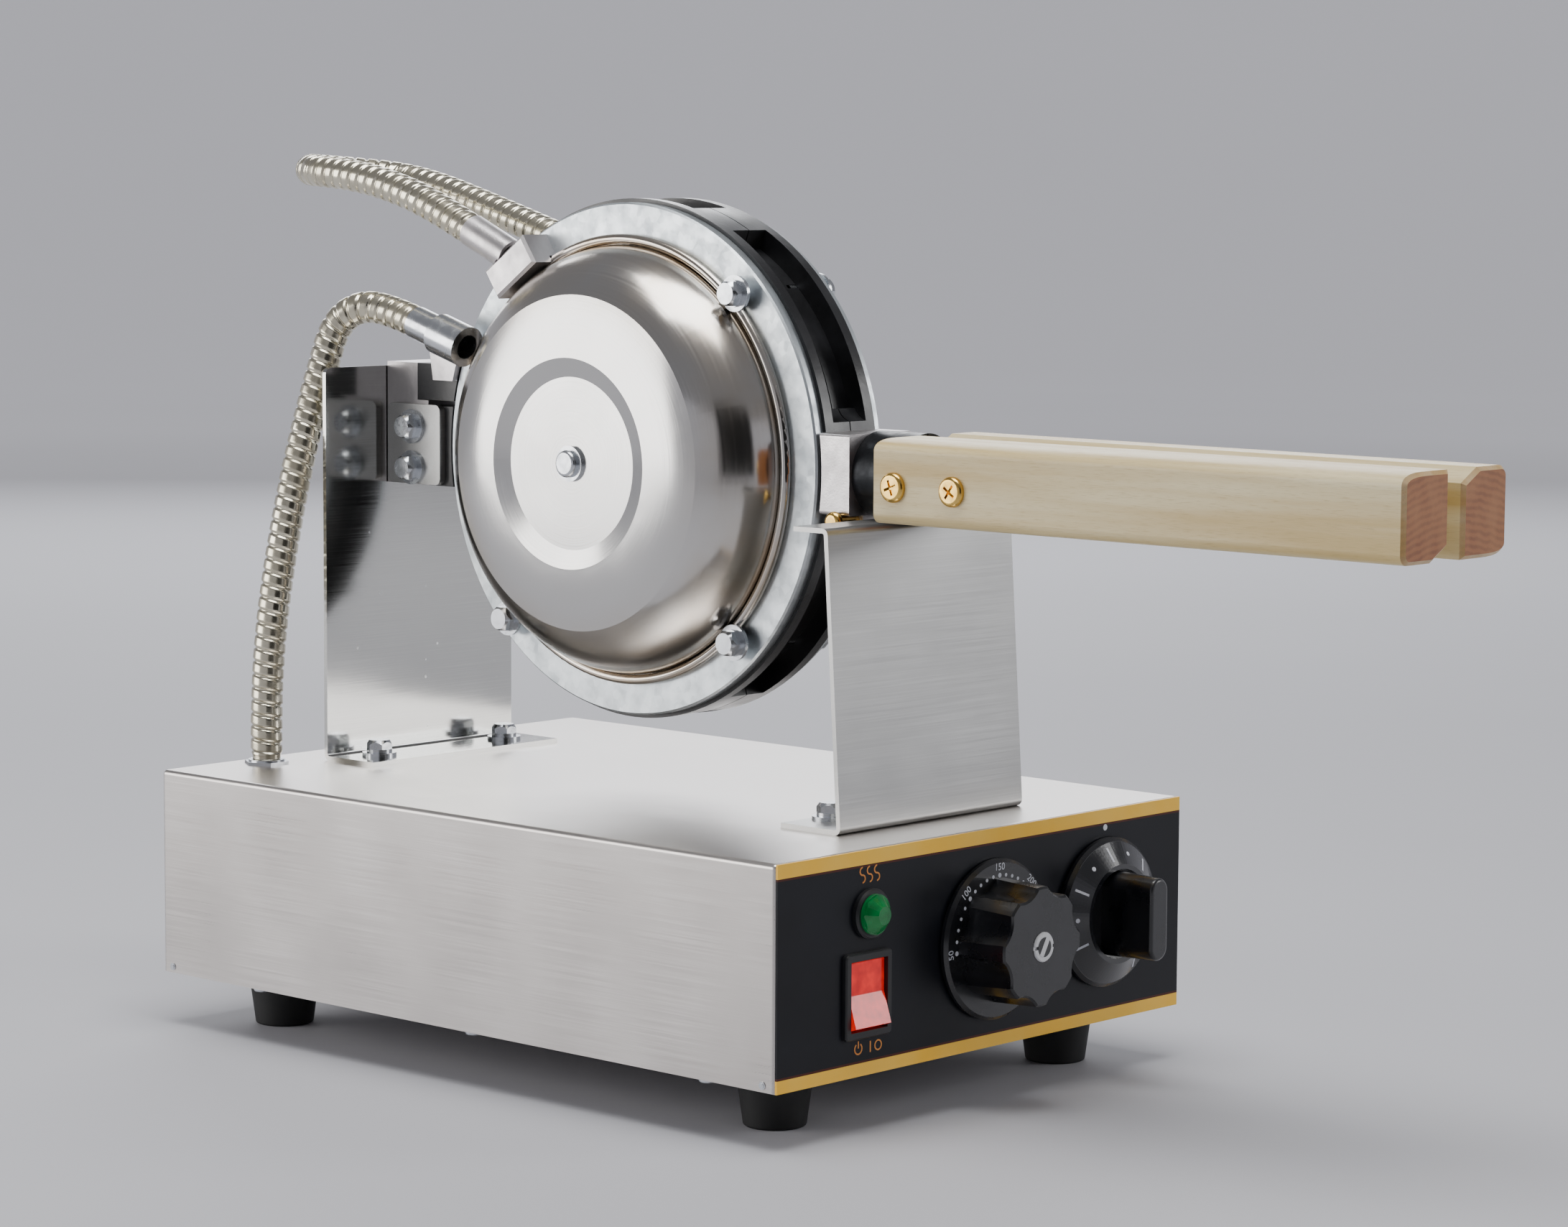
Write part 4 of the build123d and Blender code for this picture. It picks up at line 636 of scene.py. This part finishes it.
def circle(sides: int) -> list[float]:
    """Angles of a round ring's vertices, in radians."""
    return [2 * math.pi * index / sides for index in range(sides)]


def at_turns(radius: float, turns: list[float]) -> list[Pair]:
    """Points on a circle at some angles."""
    return [(radius * math.cos(turn), radius * math.sin(turn)) for turn in turns]


class Draft:
    """A mesh under construction, in millimetres until it becomes a piece."""

    def __init__(self) -> None:
        """Start an empty mesh."""
        self.mesh = bmesh.new()

    def loop(self, points: list[Vector]) -> list[bmesh.types.BMVert]:
        """Add a ring of vertices."""
        return [self.mesh.verts.new(point) for point in points]

    def skin(self, first: list, second: list) -> None:
        """Bridge two rings with quads.

        Args:
            first: Vertices of one ring.
            second: As many vertices of the other, in the same order.
        """
        count = len(first)
        for index in range(count):
            after = (index + 1) % count
            self.mesh.faces.new((first[index], first[after], second[after], second[index]))

    def turned(self, profile: list[Pair], place: Matrix, sides: int) -> list[list]:
        """Add a skin turned about the place's Z.

        Args:
            profile: Radius and height of each ring.
            place: Plane that the heights start from.
            sides: Number of vertices in a ring.

        Returns:
            The rings of vertices.
        """
        rings = [
            self.loop([place @ Vector((*point, height)) for point in at_turns(radius, circle(sides))])
            for radius, height in profile
        ]
        for before, after in zip(rings, rings[1:]):
            self.skin(before, after)
        return rings

    def prism(self, outline: list[Pair], place: Matrix, span: Pair) -> None:
        """Add a closed prism.

        Args:
            outline: Corners in the place's plane, counter-clockwise, in millimetres.
            place: Plane of the outline, its Z pointing out.
            span: Start and end of the prism along Z.
        """
        floor, roof = (self.loop([place @ Vector((x, y, z)) for x, y in outline]) for z in span)
        self.skin(floor, roof)
        self.mesh.faces.new(floor[::-1])
        self.mesh.faces.new(roof)

    def bar(self, length: float, width: float, place: Matrix, span: Pair) -> None:
        """Add a straight bar along the place's X."""
        x, y = length / 2, width / 2
        self.prism([(-x, -y), (x, -y), (x, y), (-x, y)], place, span)

    def disc(self, radius: float, place: Matrix, span: Pair, sides: int = 24) -> None:
        """Add a round disc."""
        self.prism(at_turns(radius, circle(sides)), place, span)

    def arc(self, radius: float, width: float, start: float, end: float, place: Matrix,
            span: Pair, steps: int = 18) -> None:
        """Add a bent bar along part of a circle.

        Args:
            radius: Middle radius.
            width: Width of the bar.
            start: First angle, in degrees.
            end: Last angle, in degrees.
            place: Plane of the circle.
            span: Start and end along Z.
            steps: Number of straight pieces.
        """
        turns = [math.radians(start + (end - start) * step / steps) for step in range(steps + 1)]
        outer, inner = at_turns(radius + width / 2, turns), at_turns(radius - width / 2, turns)
        self.prism(outer + inner[::-1], place, span)

    def text(self, words: str, height: float, place: Matrix, span: Pair) -> None:
        """Add raised numerals.

        Args:
            words: Digits to set.
            height: Height of a digit.
            place: Plane of the text, centred on its origin.
            span: Underside and face along Z.
        """
        low, high = span
        curve = bpy.data.curves.new("numerals", "FONT")
        curve.body = words
        curve.size = height * EM_PER_DIGIT
        curve.align_x = "CENTER"
        curve.align_y = "CENTER"
        curve.resolution_u = 3
        curve.extrude = (high - low) / 2
        holder = linked("numerals", curve)
        bpy.context.view_layer.update()
        shape = bpy.data.meshes.new_from_object(holder)
        shape.transform(place @ Matrix.Translation((0, 0, (high + low) / 2)))
        self.mesh.from_mesh(shape)
        bpy.data.objects.remove(holder)
        bpy.data.curves.remove(curve)
        bpy.data.meshes.remove(shape)

    def piece(self, name: str, finish: Finish | None, smooth: bool = False) -> bpy.types.Object:
        """Turn the draft into an object.

        Args:
            name: Name of the piece.
            finish: Finish that covers it, or none for a cutter.
            smooth: True if its faces are shaded as one curved skin.

        Returns:
            The new object, in metres.
        """
        bmesh.ops.recalc_face_normals(self.mesh, faces=self.mesh.faces)
        data = bpy.data.meshes.new(name)
        self.mesh.to_mesh(data)
        self.mesh.free()
        data.transform(Matrix.Scale(MM, 4))
        if finish:
            data.materials.append(finish.material())
        data.polygons.foreach_set("use_smooth", [smooth] * len(data.polygons))
        log.info("made %s with %d faces", name, len(data.polygons))
        return linked(name, data)


def mount(draft: Draft, name: str, finish: Finish, body: str) -> None:
    """Turn a draft into a piece that rides on a body.

    Args:
        draft: The piece's shape.
        name: Name of the piece.
        finish: Finish that covers it.
        body: Body that it moves with.
    """
    piece = draft.piece(name, finish)
    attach(piece, body)


def facing(point: Vector, outward: Triple, turn: float = 0.0) -> Matrix:
    """Plane at a point of the object, in millimetres.

    Args:
        point: Point in metres.
        outward: Direction of the plane's Z; its Y points up the object.
        turn: Turn about Z, in degrees.

    Returns:
        Matrix from the plane to the object, both in millimetres.
    """
    z = Vector(outward).normalized()
    x = Vector((0, 0, 1)).cross(z).normalized() if abs(z.z) < 0.99 else Vector((1, 0, 0))
    y = z.cross(x)
    basis = Matrix((x, y, z)).transposed().to_4x4()
    return Matrix.Translation(point / MM) @ basis @ turn_by(turn)


@dataclass(frozen=True)
class Lamp:
    """One soft panel of light: place and size in millimetres, power in watts."""

    name: str
    place: Triple
    size: Pair
    power: float
    colour: str

    def hang(self, target: Triple) -> None:
        """Hang the panel.

        Args:
            target: Point that it faces, in millimetres.
        """
        data = bpy.data.lights.new(self.name, "AREA")
        data.shape = "RECTANGLE"
        data.size, data.size_y = (length * MM for length in self.size)
        data.energy = self.power
        data.color = linear(self.colour)[:3]
        holder = linked(self.name, data)
        holder.location = from_base(*self.place)
        aim = from_base(*target) - from_base(*self.place)
        holder.rotation_euler = aim.to_track_quat("-Z", "Y").to_euler()
        holder.visible_camera = False


@dataclass
class Studio:
    """Camera, pale floor and soft lights."""

    camera_place: Triple = (-1329.0, -1291.9, 381.7)
    azimuth: float = -47.39
    pitch: float = 6.08
    roll: float = 0.32
    focal_px: float = 6101.0
    frame_px: float = 2183.0
    sensor: float = 36.0
    floor_radius: float = 5200.0
    sweep_radius: float = 1500.0
    wall_top: float = 2600.0
    sides: int = 96
    flag_place: Triple = (-1100.0, -2150.0, 700.0)
    flag_w: float = 1900.0
    flag_h: float = 1400.0
    lamps: tuple[Lamp, ...] = (
        Lamp("overhead", (-200, -150, 1700), (1100, 900), 26, "#FFFFFF"),
        Lamp("left_wall", (-1900, 1700, 500), (1800, 1500), 42, "#FFFDFA"),
        Lamp("right_wall", (1900, 1900, 1250), (2000, 1300), 34, "#FAFCFF"),
        Lamp("front_fill", (1700, -1800, 900), (700, 900), 14, "#FFFFFF"),
    )
    lit_point: Triple = (0.0, 0.0, 200.0)
    room_colour: str = "#B4B4B9"
    room_strength: float = 0.55

    def camera(self) -> None:
        """Place the camera where the photograph was taken from."""
        data = bpy.data.cameras.new("camera")
        data.sensor_width = self.sensor
        data.lens = self.focal_px / self.frame_px * self.sensor
        data.clip_start = 0.05
        data.clip_end = 60.0
        holder = linked("camera", data)
        turn = turn_by(self.azimuth)
        tilt = turn_by(90 - self.pitch, "X")
        lean = turn_by(self.roll)
        holder.matrix_world = Matrix.Translation(from_base(*self.camera_place)) @ turn @ tilt @ lean
        bpy.context.scene.camera = holder

    def backdrop(self) -> None:
        """Lay a round paper floor that sweeps up into a low wall all round."""
        draft = Draft()
        profile = [
            (self.floor_radius + self.sweep_radius * math.sin(t), self.sweep_radius * (1 - math.cos(t)))
            for t in map(math.radians, range(0, 91, 9))
        ]
        profile.append((profile[-1][0], self.wall_top))
        rings = draft.turned(profile, Matrix(), self.sides)
        draft.mesh.faces.new(rings[0])
        draft.piece("backdrop", LitPaper("studio_paper", "#BDBDC2"), smooth=True)

    def flag(self) -> None:
        """Stand a black cloth behind the camera, unseen itself, for the polished metal to mirror."""
        cloth = MouldedPlastic("black_cloth", "#050505", 0.9, 0.0, 2.0, "#0B0B0B")
        x, y, z = self.flag_place
        draft = Draft()
        place = facing(from_base(x, y, z), (-x, -y, 0.0))
        draft.bar(self.flag_w, self.flag_h, place, (-10.0, 0.0))
        piece = draft.piece("black_flag", cloth)
        piece.visible_camera = False

    def world(self) -> None:
        """Fill the rest of the room with even grey light."""
        world = bpy.data.worlds.new("room")
        world.use_nodes = True
        ground = world.node_tree.nodes["Background"]
        ground.inputs["Color"].default_value = linear(self.room_colour)
        ground.inputs["Strength"].default_value = self.room_strength
        bpy.context.scene.world = world

    def build(self) -> None:
        """Set up the whole studio."""
        self.camera()
        self.backdrop()
        self.flag()
        for lamp in self.lamps:
            lamp.hang(self.lit_point)
        self.world()


@dataclass
class Conduit:
    """Interlocked-strip hose between two fittings on different bodies."""

    name: str
    node: str
    bodies: tuple[str, str]
    route: list[Triple]
    bend: tuple[Triple, Triple]
    radius: float = 7.0
    root: float = 6.15
    pitch: float = 5.6
    plain_end: float = 4.0
    step: float = 0.4
    sides: int = 40

    def centreline(self) -> list[Vector]:
        """Follow the route with one smooth spline and read its line in even steps.

        Returns:
            Points in millimetres, one step apart.
        """
        curve = bpy.data.curves.new(self.name, "CURVE")
        curve.dimensions = "3D"
        curve.resolution_u = 32
        spline = curve.splines.new("NURBS")
        spline.points.add(len(self.route) - 1)
        for point, place in zip(spline.points, self.route):
            point.co = (*(from_base(*place) / MM), 1.0)
        spline.order_u = 3
        spline.use_endpoint_u = True
        holder = linked(self.name, curve)
        bpy.context.view_layer.update()
        line = [vertex.co.copy() for vertex in bpy.data.meshes.new_from_object(holder).vertices]
        bpy.data.objects.remove(holder)
        return self.resample(line)

    def resample(self, line: list[Vector]) -> list[Vector]:
        """Space a line's points evenly.

        Args:
            line: Points in millimetres.

        Returns:
            Points along the same line, one step apart.
        """
        reach = [0.0]
        for before, after in zip(line, line[1:]):
            reach.append(reach[-1] + (after - before).length)
        count = round(reach[-1] / self.step)
        points = []
        place = 0
        for index in range(count + 1):
            target = reach[-1] * index / count
            while place < len(reach) - 2 and reach[place + 1] < target:
                place += 1
            share = (target - reach[place]) / max(reach[place + 1] - reach[place], 1e-9)
            points.append(line[place].lerp(line[place + 1], min(max(share, 0.0), 1.0)))
        return points

    def crest(self, phase: float) -> float:
        """Height of the folded strip at a place within one pitch.

        Args:
            phase: Place within the pitch, from 0 to 1.

        Returns:
            Share of the way from the groove's floor to the crest.
        """
        groove, rise, fall, droop = 0.14, 0.16, 0.12, 0.14
        if phase < groove:
            return 0.0
        if phase < groove + rise:
            return math.sin((phase - groove) / rise * math.pi / 2)
        if phase > 1 - fall:
            return math.cos((phase - 1 + fall) / fall * math.pi / 2) * (1 - droop)
        return 1.0 - droop * (phase - groove - rise) / (1 - groove - rise - fall)

    def build(self) -> None:
        """Build the hose and hide the frame's own hose node."""
        line = self.centreline()
        total = (len(line) - 1) * (line[1] - line[0]).length
        draft = Draft()
        side = Vector((1.0, 0.0, 0.0))
        rings = []
        for index, point in enumerate(line):
            ahead = line[min(index + 1, len(line) - 1)] - line[max(index - 1, 0)]
            heading = ahead.normalized()
            side = (side - heading * side.dot(heading)).normalized()
            other = heading.cross(side)
            reach = total * index / (len(line) - 1)
            # The strip's folds fade out where the hose enters its fittings
            fade = min(max(min(reach, total - reach) / self.plain_end - 0.4, 0.0) * 2, 1.0)
            ring = []
            for step in range(self.sides):
                turn = step / self.sides
                height = self.crest((reach / self.pitch + turn) % 1.0) * fade
                radius = self.root + (self.radius - self.root) * height
                angle = 2 * math.pi * turn
                ring.append(point + side * (radius * math.cos(angle)) + other * (radius * math.sin(angle)))
            rings.append(draft.loop(ring))
        for before, after in zip(rings, rings[1:]):
            draft.skin(before, after)
        draft.mesh.faces.new(rings[0][::-1])
        draft.mesh.faces.new(rings[-1])
        piece = draft.piece(self.name, HOSE, smooth=True)
        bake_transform(piece)
        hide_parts(self.node)


def conduits() -> list[Conduit]:
    """The hose from the base to half A, and the jumper over to half B."""
    top = PANEL_HIGH.z / MM
    gland_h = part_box("conduit_gland")[1].z / MM - top
    main = Conduit(
        "hose_main", "conduit_main", ("base", "swivel"),
        [
            (-80.0, 165.0, top + gland_h), (-80.0, 165.0, 142.0), (-76.5, 165.0, 175.0),
            (-69.5, 165.2, 209.0), (-61.5, 165.0, 240.0), (-54.0, 164.6, 264.0),
            (-48.0, 163.6, 282.5), (-41.5, 161.5, 303.5), (-37.0, 149.2, 311.7),
            (-32.5, 133.8, 309.3), (-32.5, 118.6, 304.7),
        ],
        ((-80.0, 165.0, 128.0), (-33.0, 128.0, 307.0)),
    )
    jumper = Conduit(
        "hose_jumper", "conduit_jumper", ("swivel", "lid"),
        [
            (-28.0, 88.0, 345.0), (-28.0, 112.0, 355.5), (-28.0, 140.0, 364.0),
            (-28.0, 167.0, 368.6), (-28.0, 193.6, 370.2), (-11.6, 210.0, 370.3),
            (11.6, 210.0, 369.0), (28.0, 193.6, 366.8), (28.0, 167.0, 362.0),
            (28.0, 141.0, 355.0), (28.0, 113.0, 347.2), (28.0, 90.0, 340.5),
        ],
        ((-28.0, 150.0, 365.0), (28.0, 150.0, 358.0)),
    )
    return [main, jumper]


@dataclass
class ControlBase:
    """Sheet-steel base with its printed front, feet and inner parts."""

    finishes: Finishes = (
        (SHEET_SIDE, "base_shell bottom_plate"),
        (OVERLAY, "label_panel"),
        (ZINC, "base_screws foot_screws conduit_gland"),
        (RUBBER, "feet"),
        (ABS, "cable_gland"),
        (STEATITE, "terminal_block"),
        (BODY_RESIN, "thermostat_body timer_body"),
    )
    ink_slot: str = "front_print"
    stroke: float = 0.6
    waves_up: float = 15.5
    wave_r: float = 1.5
    wave_gap: float = 4.2
    marks_down: float = 21.0
    mark_places: tuple[Pair, ...] = ((-4.0, 0.0), (-4.0, 1.6), (3.0, 0.0), (7.6, 0.0))
    power_r: float = 2.1
    stem_h: float = 2.8
    on_w: float = 0.7
    on_h: float = 4.4
    off_r: float = 1.9
    index_dot_r: float = 1.3
    index_dot_drop: float = 7.5
    rivet_r: float = 1.6
    rivet_span: Pair = (-0.2, 0.35)
    rivet_crown: Pair = (0.3, 0.55)
    rivet_in: float = 6.5
    rivet_up: float = 2.6

    def symbols(self) -> None:
        """Print a plain pictogram by the lamp and by the switch, in amber ink."""
        draft = Draft()
        face = PANEL_LOW.y
        out = (0, -1, 0)
        stroke = self.stroke
        lamp = node_centre("lamp_bezel")
        above = facing(Vector((lamp.x, face, lamp.z + self.waves_up * MM)), out)
        for step in (-1, 0, 1):
            for half_turn in (0, 1):
                shift = (step * self.wave_gap, (half_turn - 0.5) * 2 * self.wave_r, 0)
                start = 90 if half_turn else -90
                bow = above @ Matrix.Translation(shift)
                draft.arc(self.wave_r, stroke, start, start + 180, bow, PANEL_INK)
        switch = node_centre("switch_housing")
        below = facing(Vector((switch.x, face, switch.z - self.marks_down * MM)), out)
        power, stem, on, off = (below @ Matrix.Translation((x, y, 0)) for x, y in self.mark_places)
        draft.arc(self.power_r, stroke, 125, 415, power, PANEL_INK)
        draft.bar(stroke, self.stem_h, stem, PANEL_INK)
        draft.bar(self.on_w, self.on_h, on, PANEL_INK)
        draft.arc(self.off_r, stroke, 0, 359, off, PANEL_INK, 24)
        mount(draft, "panel_symbols", AMBER_INK, "base")

    def index_marks(self) -> None:
        """Print the white index dot above the timer dial."""
        draft = Draft()
        timer = node_centre("timer_spindle")
        spot = Vector((timer.x, PANEL_LOW.y, PANEL_HIGH.z - self.index_dot_drop * MM))
        draft.disc(self.index_dot_r, facing(spot, (0, -1, 0)), PANEL_INK)
        mount(draft, "timer_index_dot", WHITE_INK, "base")

    def rivets(self) -> None:
        """Set the small rivets that close the shell's corners."""
        low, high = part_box("base_shell")
        draft = Draft()
        for side in (-1, 1):
            x = low.x if side < 0 else high.x
            for y in (low.y + self.rivet_in * MM, high.y - self.rivet_in * MM):
                place = facing(Vector((x, y, low.z + self.rivet_up * MM)), (side, 0, 0))
                draft.disc(self.rivet_r, place, self.rivet_span, 20)
                draft.disc(self.rivet_r * 0.6, place, self.rivet_crown, 20)
        mount(draft, "corner_rivets", ZINC, "base")

    def build(self) -> None:
        """Dress the base and add its print and rivets."""
        dress(self.finishes)
        self.symbols()
        self.index_marks()
        self.rivets()


@dataclass
class Uprights:
    """Front and rear sheet brackets with their bolts and the swivel's bearing."""

    finishes: Finishes = (
        (SHEET_MIRROR, "rear_upright"),
        (SHEET_UPRIGHT, "front_upright leaf_a"),
        (ZINC, "upright_bolts shaft_nut hinge_pin yoke_fasteners leaf_b_bolts main_socket"),
        (OILED, "swivel_bush"),
        (CAST_BRIGHT, "swivel_yoke leaf_b socket_strap"),
    )

    def build(self) -> None:
        """Dress the brackets and the hinge."""
        dress(self.finishes)


@dataclass
class Mould:
    """Both halves of the mould, from the cast pan out to the spun dome."""

    finishes: Finishes = (
        (PAN, "pan"),
        (GALVANISED, "ring"),
        (SPUN, "dome"),
        (ZINC, "dome_screw ring_bolts"),
        (PLAIN_STEEL, "heater"),
        (FIBRE, "insulation"),
        (CAST_BRIGHT, "jumper_clamp lug"),
        (OILED, "journal"),
        (WOOD, "grip"),
        (BRASS, "grip_screws"),
    )

    def build(self) -> None:
        """Dress both halves."""
        for half in ("_a", "_b"):
            dress(self.finishes, half)
        dress(((BRASS, "stop_screw"),))


@dataclass
class Recesses:
    """Driver recesses cut in the screws that carry one."""

    cross_span: float = 6.4
    cross_width: float = 1.1
    cross_depth: float = 1.7
    turns: Pair = (20.0, 55.0)

    def cut(self, node: str, body: str, cutter: Draft) -> None:
        """Cut a draft out of a node without touching its mesh.

        Args:
            node: Name of the screws' node.
            body: Body that the screws ride on.
            cutter: Shapes to cut away.
        """
        tool = cutter.piece("cutter_" + node, None)
        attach(tool, body)
        tool.hide_render = True
        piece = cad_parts[node]
        weld = piece.modifiers.new("weld", "WELD")
        weld.merge_threshold = 1e-6
        boolean = piece.modifiers.new("recess", "BOOLEAN")
        boolean.operation = "DIFFERENCE"
        boolean.solver = "EXACT"
        boolean.use_self = True
        boolean.object = tool

    def cross(self, draft: Draft, place: Matrix, turn: float) -> None:
        """Add a cross recess to a cutter.

        Args:
            draft: The cutter.
            place: Plane of the screw's face.
            turn: Turn of the cross, in degrees.
        """
        for quarter in (0, 90):
            turned = place @ turn_by(turn + quarter)
            draft.bar(self.cross_span, self.cross_width, turned, (-self.cross_depth, 1.0))

    def build(self) -> None:
        """Cut the cross in each brass grip screw."""
        for half, body, out in (("a", "swivel", -1), ("b", "lid", 1)):
            draft = Draft()
            low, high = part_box("grip_screws_" + half)
            head = (high.z - low.z) / 2
            x = low.x if out < 0 else high.x
            for y, turn in zip((high.y - head, low.y + head), self.turns):
                self.cross(draft, facing(Vector((x, y, low.z + head)), (out, 0, 0)), turn)
            self.cut("grip_screws_" + half, body, draft)


@dataclass
class Dials:
    """Switch, lamp and the two dials with their printed scales."""

    finishes: Finishes = (
        (ABS, "switch_housing lamp_bezel"),
        (RED, "rocker"),
        (GREEN, "lamp_lens"),
        (PHENOLIC, "thermostat_knob timer_knob"),
        (UREA, "thermostat_cap"),
        (ZINC, "thermostat_spindle timer_spindle"),
    )
    skirt_front: float = 3.8
    heat_marks: tuple[tuple[int, float], ...] = (
        (50, 185.0), (100, 134.0), (150, 90.0), (200, 47.0), (250, 4.0), (300, -39.0),
    )
    heat_dots: int = 5
    heat_dot_ring: float = 26.1
    heat_number_ring: float = 29.4
    heat_number_h: float = 3.0
    heat_dot_r: float = 0.75
    minutes: int = 5
    minute_start: float = 207.0
    minute_step: float = 53.6
    tick_l: float = 6.5
    tick_w: float = 1.0
    minute_dot_r: float = 0.95
    cone_low_r: float = 29.4
    cone_top_r: float = 20.6
    cone_rise: float = 5.0
    cone_land: float = 2.0
    cone_foot: float = -0.4
    cone_sides: int = 96
    inset_r: float = 4.0
    inset_span: Pair = (-0.3, 0.08)
    rib_w: float = 2.4
    rib_span: Pair = (0.0, 0.22)
    slot_turn: float = 60.0

    def polar(self, centre: Vector, ring: float, degrees: float) -> Matrix:
        """Plane on a dial's skirt, its X pointing away from the middle.

        Args:
            centre: Point on the dial's axis, in metres.
            ring: Distance from the axis.
            degrees: Angle from the right, turning towards the top.

        Returns:
            Matrix from that plane to the object, in millimetres.
        """
        front = Vector((centre.x, PANEL_LOW.y - self.skirt_front * MM, centre.z))
        middle = facing(front, (0, -1, 0), degrees)
        return middle @ Matrix.Translation((ring, 0, 0))

    def heat_scale(self) -> None:
        """Print the thermostat's numbers and dots on its skirt."""
        centre = node_centre("thermostat_cap")
        draft = Draft()
        for number, angle in self.heat_marks:
            place = self.polar(centre, self.heat_number_ring, angle)
            upright = place @ turn_by(-90)
            draft.text(str(number), self.heat_number_h, upright, SKIRT_INK)
            spot = self.polar(centre, self.heat_dot_ring, angle)
            draft.disc(self.heat_dot_r * 1.3, spot, SKIRT_INK, 16)
        for (_, start), (_, end) in zip(self.heat_marks, self.heat_marks[1:]):
            for dot in range(1, self.heat_dots):
                turn = start + (end - start) * dot / self.heat_dots
                spot = self.polar(centre, self.heat_dot_ring, turn)
                draft.disc(self.heat_dot_r, spot, SKIRT_INK, 12)
        mount(draft, "thermostat_scale", WHITE_INK, "thermostat_dial")

    def cap_inset(self) -> None:
        """Set the dark slotted inset in the thermostat's white cap."""
        low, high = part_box("thermostat_cap")
        centre = (low + high) / 2
        face = facing(Vector((centre.x, low.y, centre.z)), (0, -1, 0), self.slot_turn)
        inset = Draft()
        inset.disc(self.inset_r, face, self.inset_span, 40)
        mount(inset, "cap_inset", PHENOLIC, "thermostat_dial")
        rib = Draft()
        rib.bar(2 * self.inset_r, self.rib_w, face, self.rib_span)
        mount(rib, "cap_rib", UREA, "thermostat_dial")

    def cone_frame(self, centre: Vector, degrees: float) -> Matrix:
        """Plane on the timer's cone, its X running down the slope away from the axis.

        Args:
            centre: Point on the dial's axis, in metres.
            degrees: Angle from the right, turning towards the top.

        Returns:
            Matrix from that plane to the object, in millimetres.
        """
        slope = math.degrees(math.atan2(self.cone_rise, self.cone_low_r - self.cone_top_r))
        middle_r = (self.cone_low_r + self.cone_top_r) / 2
        spoke = self.polar(centre, middle_r, degrees) @ Matrix.Translation((0, 0, self.cone_rise / 2))
        return spoke @ turn_by(slope, "Y")

    def cone(self) -> None:
        """Raise the timer's skirt to a shallow cone and print its ticks and dots."""
        centre = node_centre("timer_spindle")
        bore = self.cone_top_r - self.cone_land
        profile = [
            (self.cone_low_r, self.cone_foot), (self.cone_low_r, 0.0), (self.cone_top_r, self.cone_rise),
            (bore, self.cone_rise), (bore, self.cone_foot),
        ]
        skirt = Draft()
        rings = skirt.turned(profile, self.polar(centre, 0.0, 0.0), self.cone_sides)
        skirt.skin(rings[-1], rings[0])
        mount(skirt, "timer_cone", GLOSSY, "timer_dial")
        draft = Draft()
        for minute in range(self.minutes + 1):
            angle = self.minute_start - minute * self.minute_step
            draft.bar(self.tick_l, self.tick_w, self.cone_frame(centre, angle), CONE_INK)
            if minute < self.minutes:
                half = self.cone_frame(centre, angle - self.minute_step / 2)
                draft.disc(self.minute_dot_r, half, CONE_INK, 16)
        mount(draft, "timer_scale", WHITE_INK, "timer_dial")

    def build(self) -> None:
        """Dress the controls and print their scales."""
        dress(self.finishes)
        self.heat_scale()
        self.cap_inset()
        self.cone()


def write_sizes() -> None:
    """Bring the scene's placements up to date."""
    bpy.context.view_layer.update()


def main() -> None:
    """Build the studio and dress every sub-assembly."""
    logging.basicConfig(level=logging.INFO, format="%(message)s")
    Studio().build()
    for conduit in conduits():
        conduit.build()
    ControlBase().build()
    Uprights().build()
    Mould().build()
    Recesses().build()
    Dials().build()
    write_sizes()


if __name__ == "__main__":
    main()
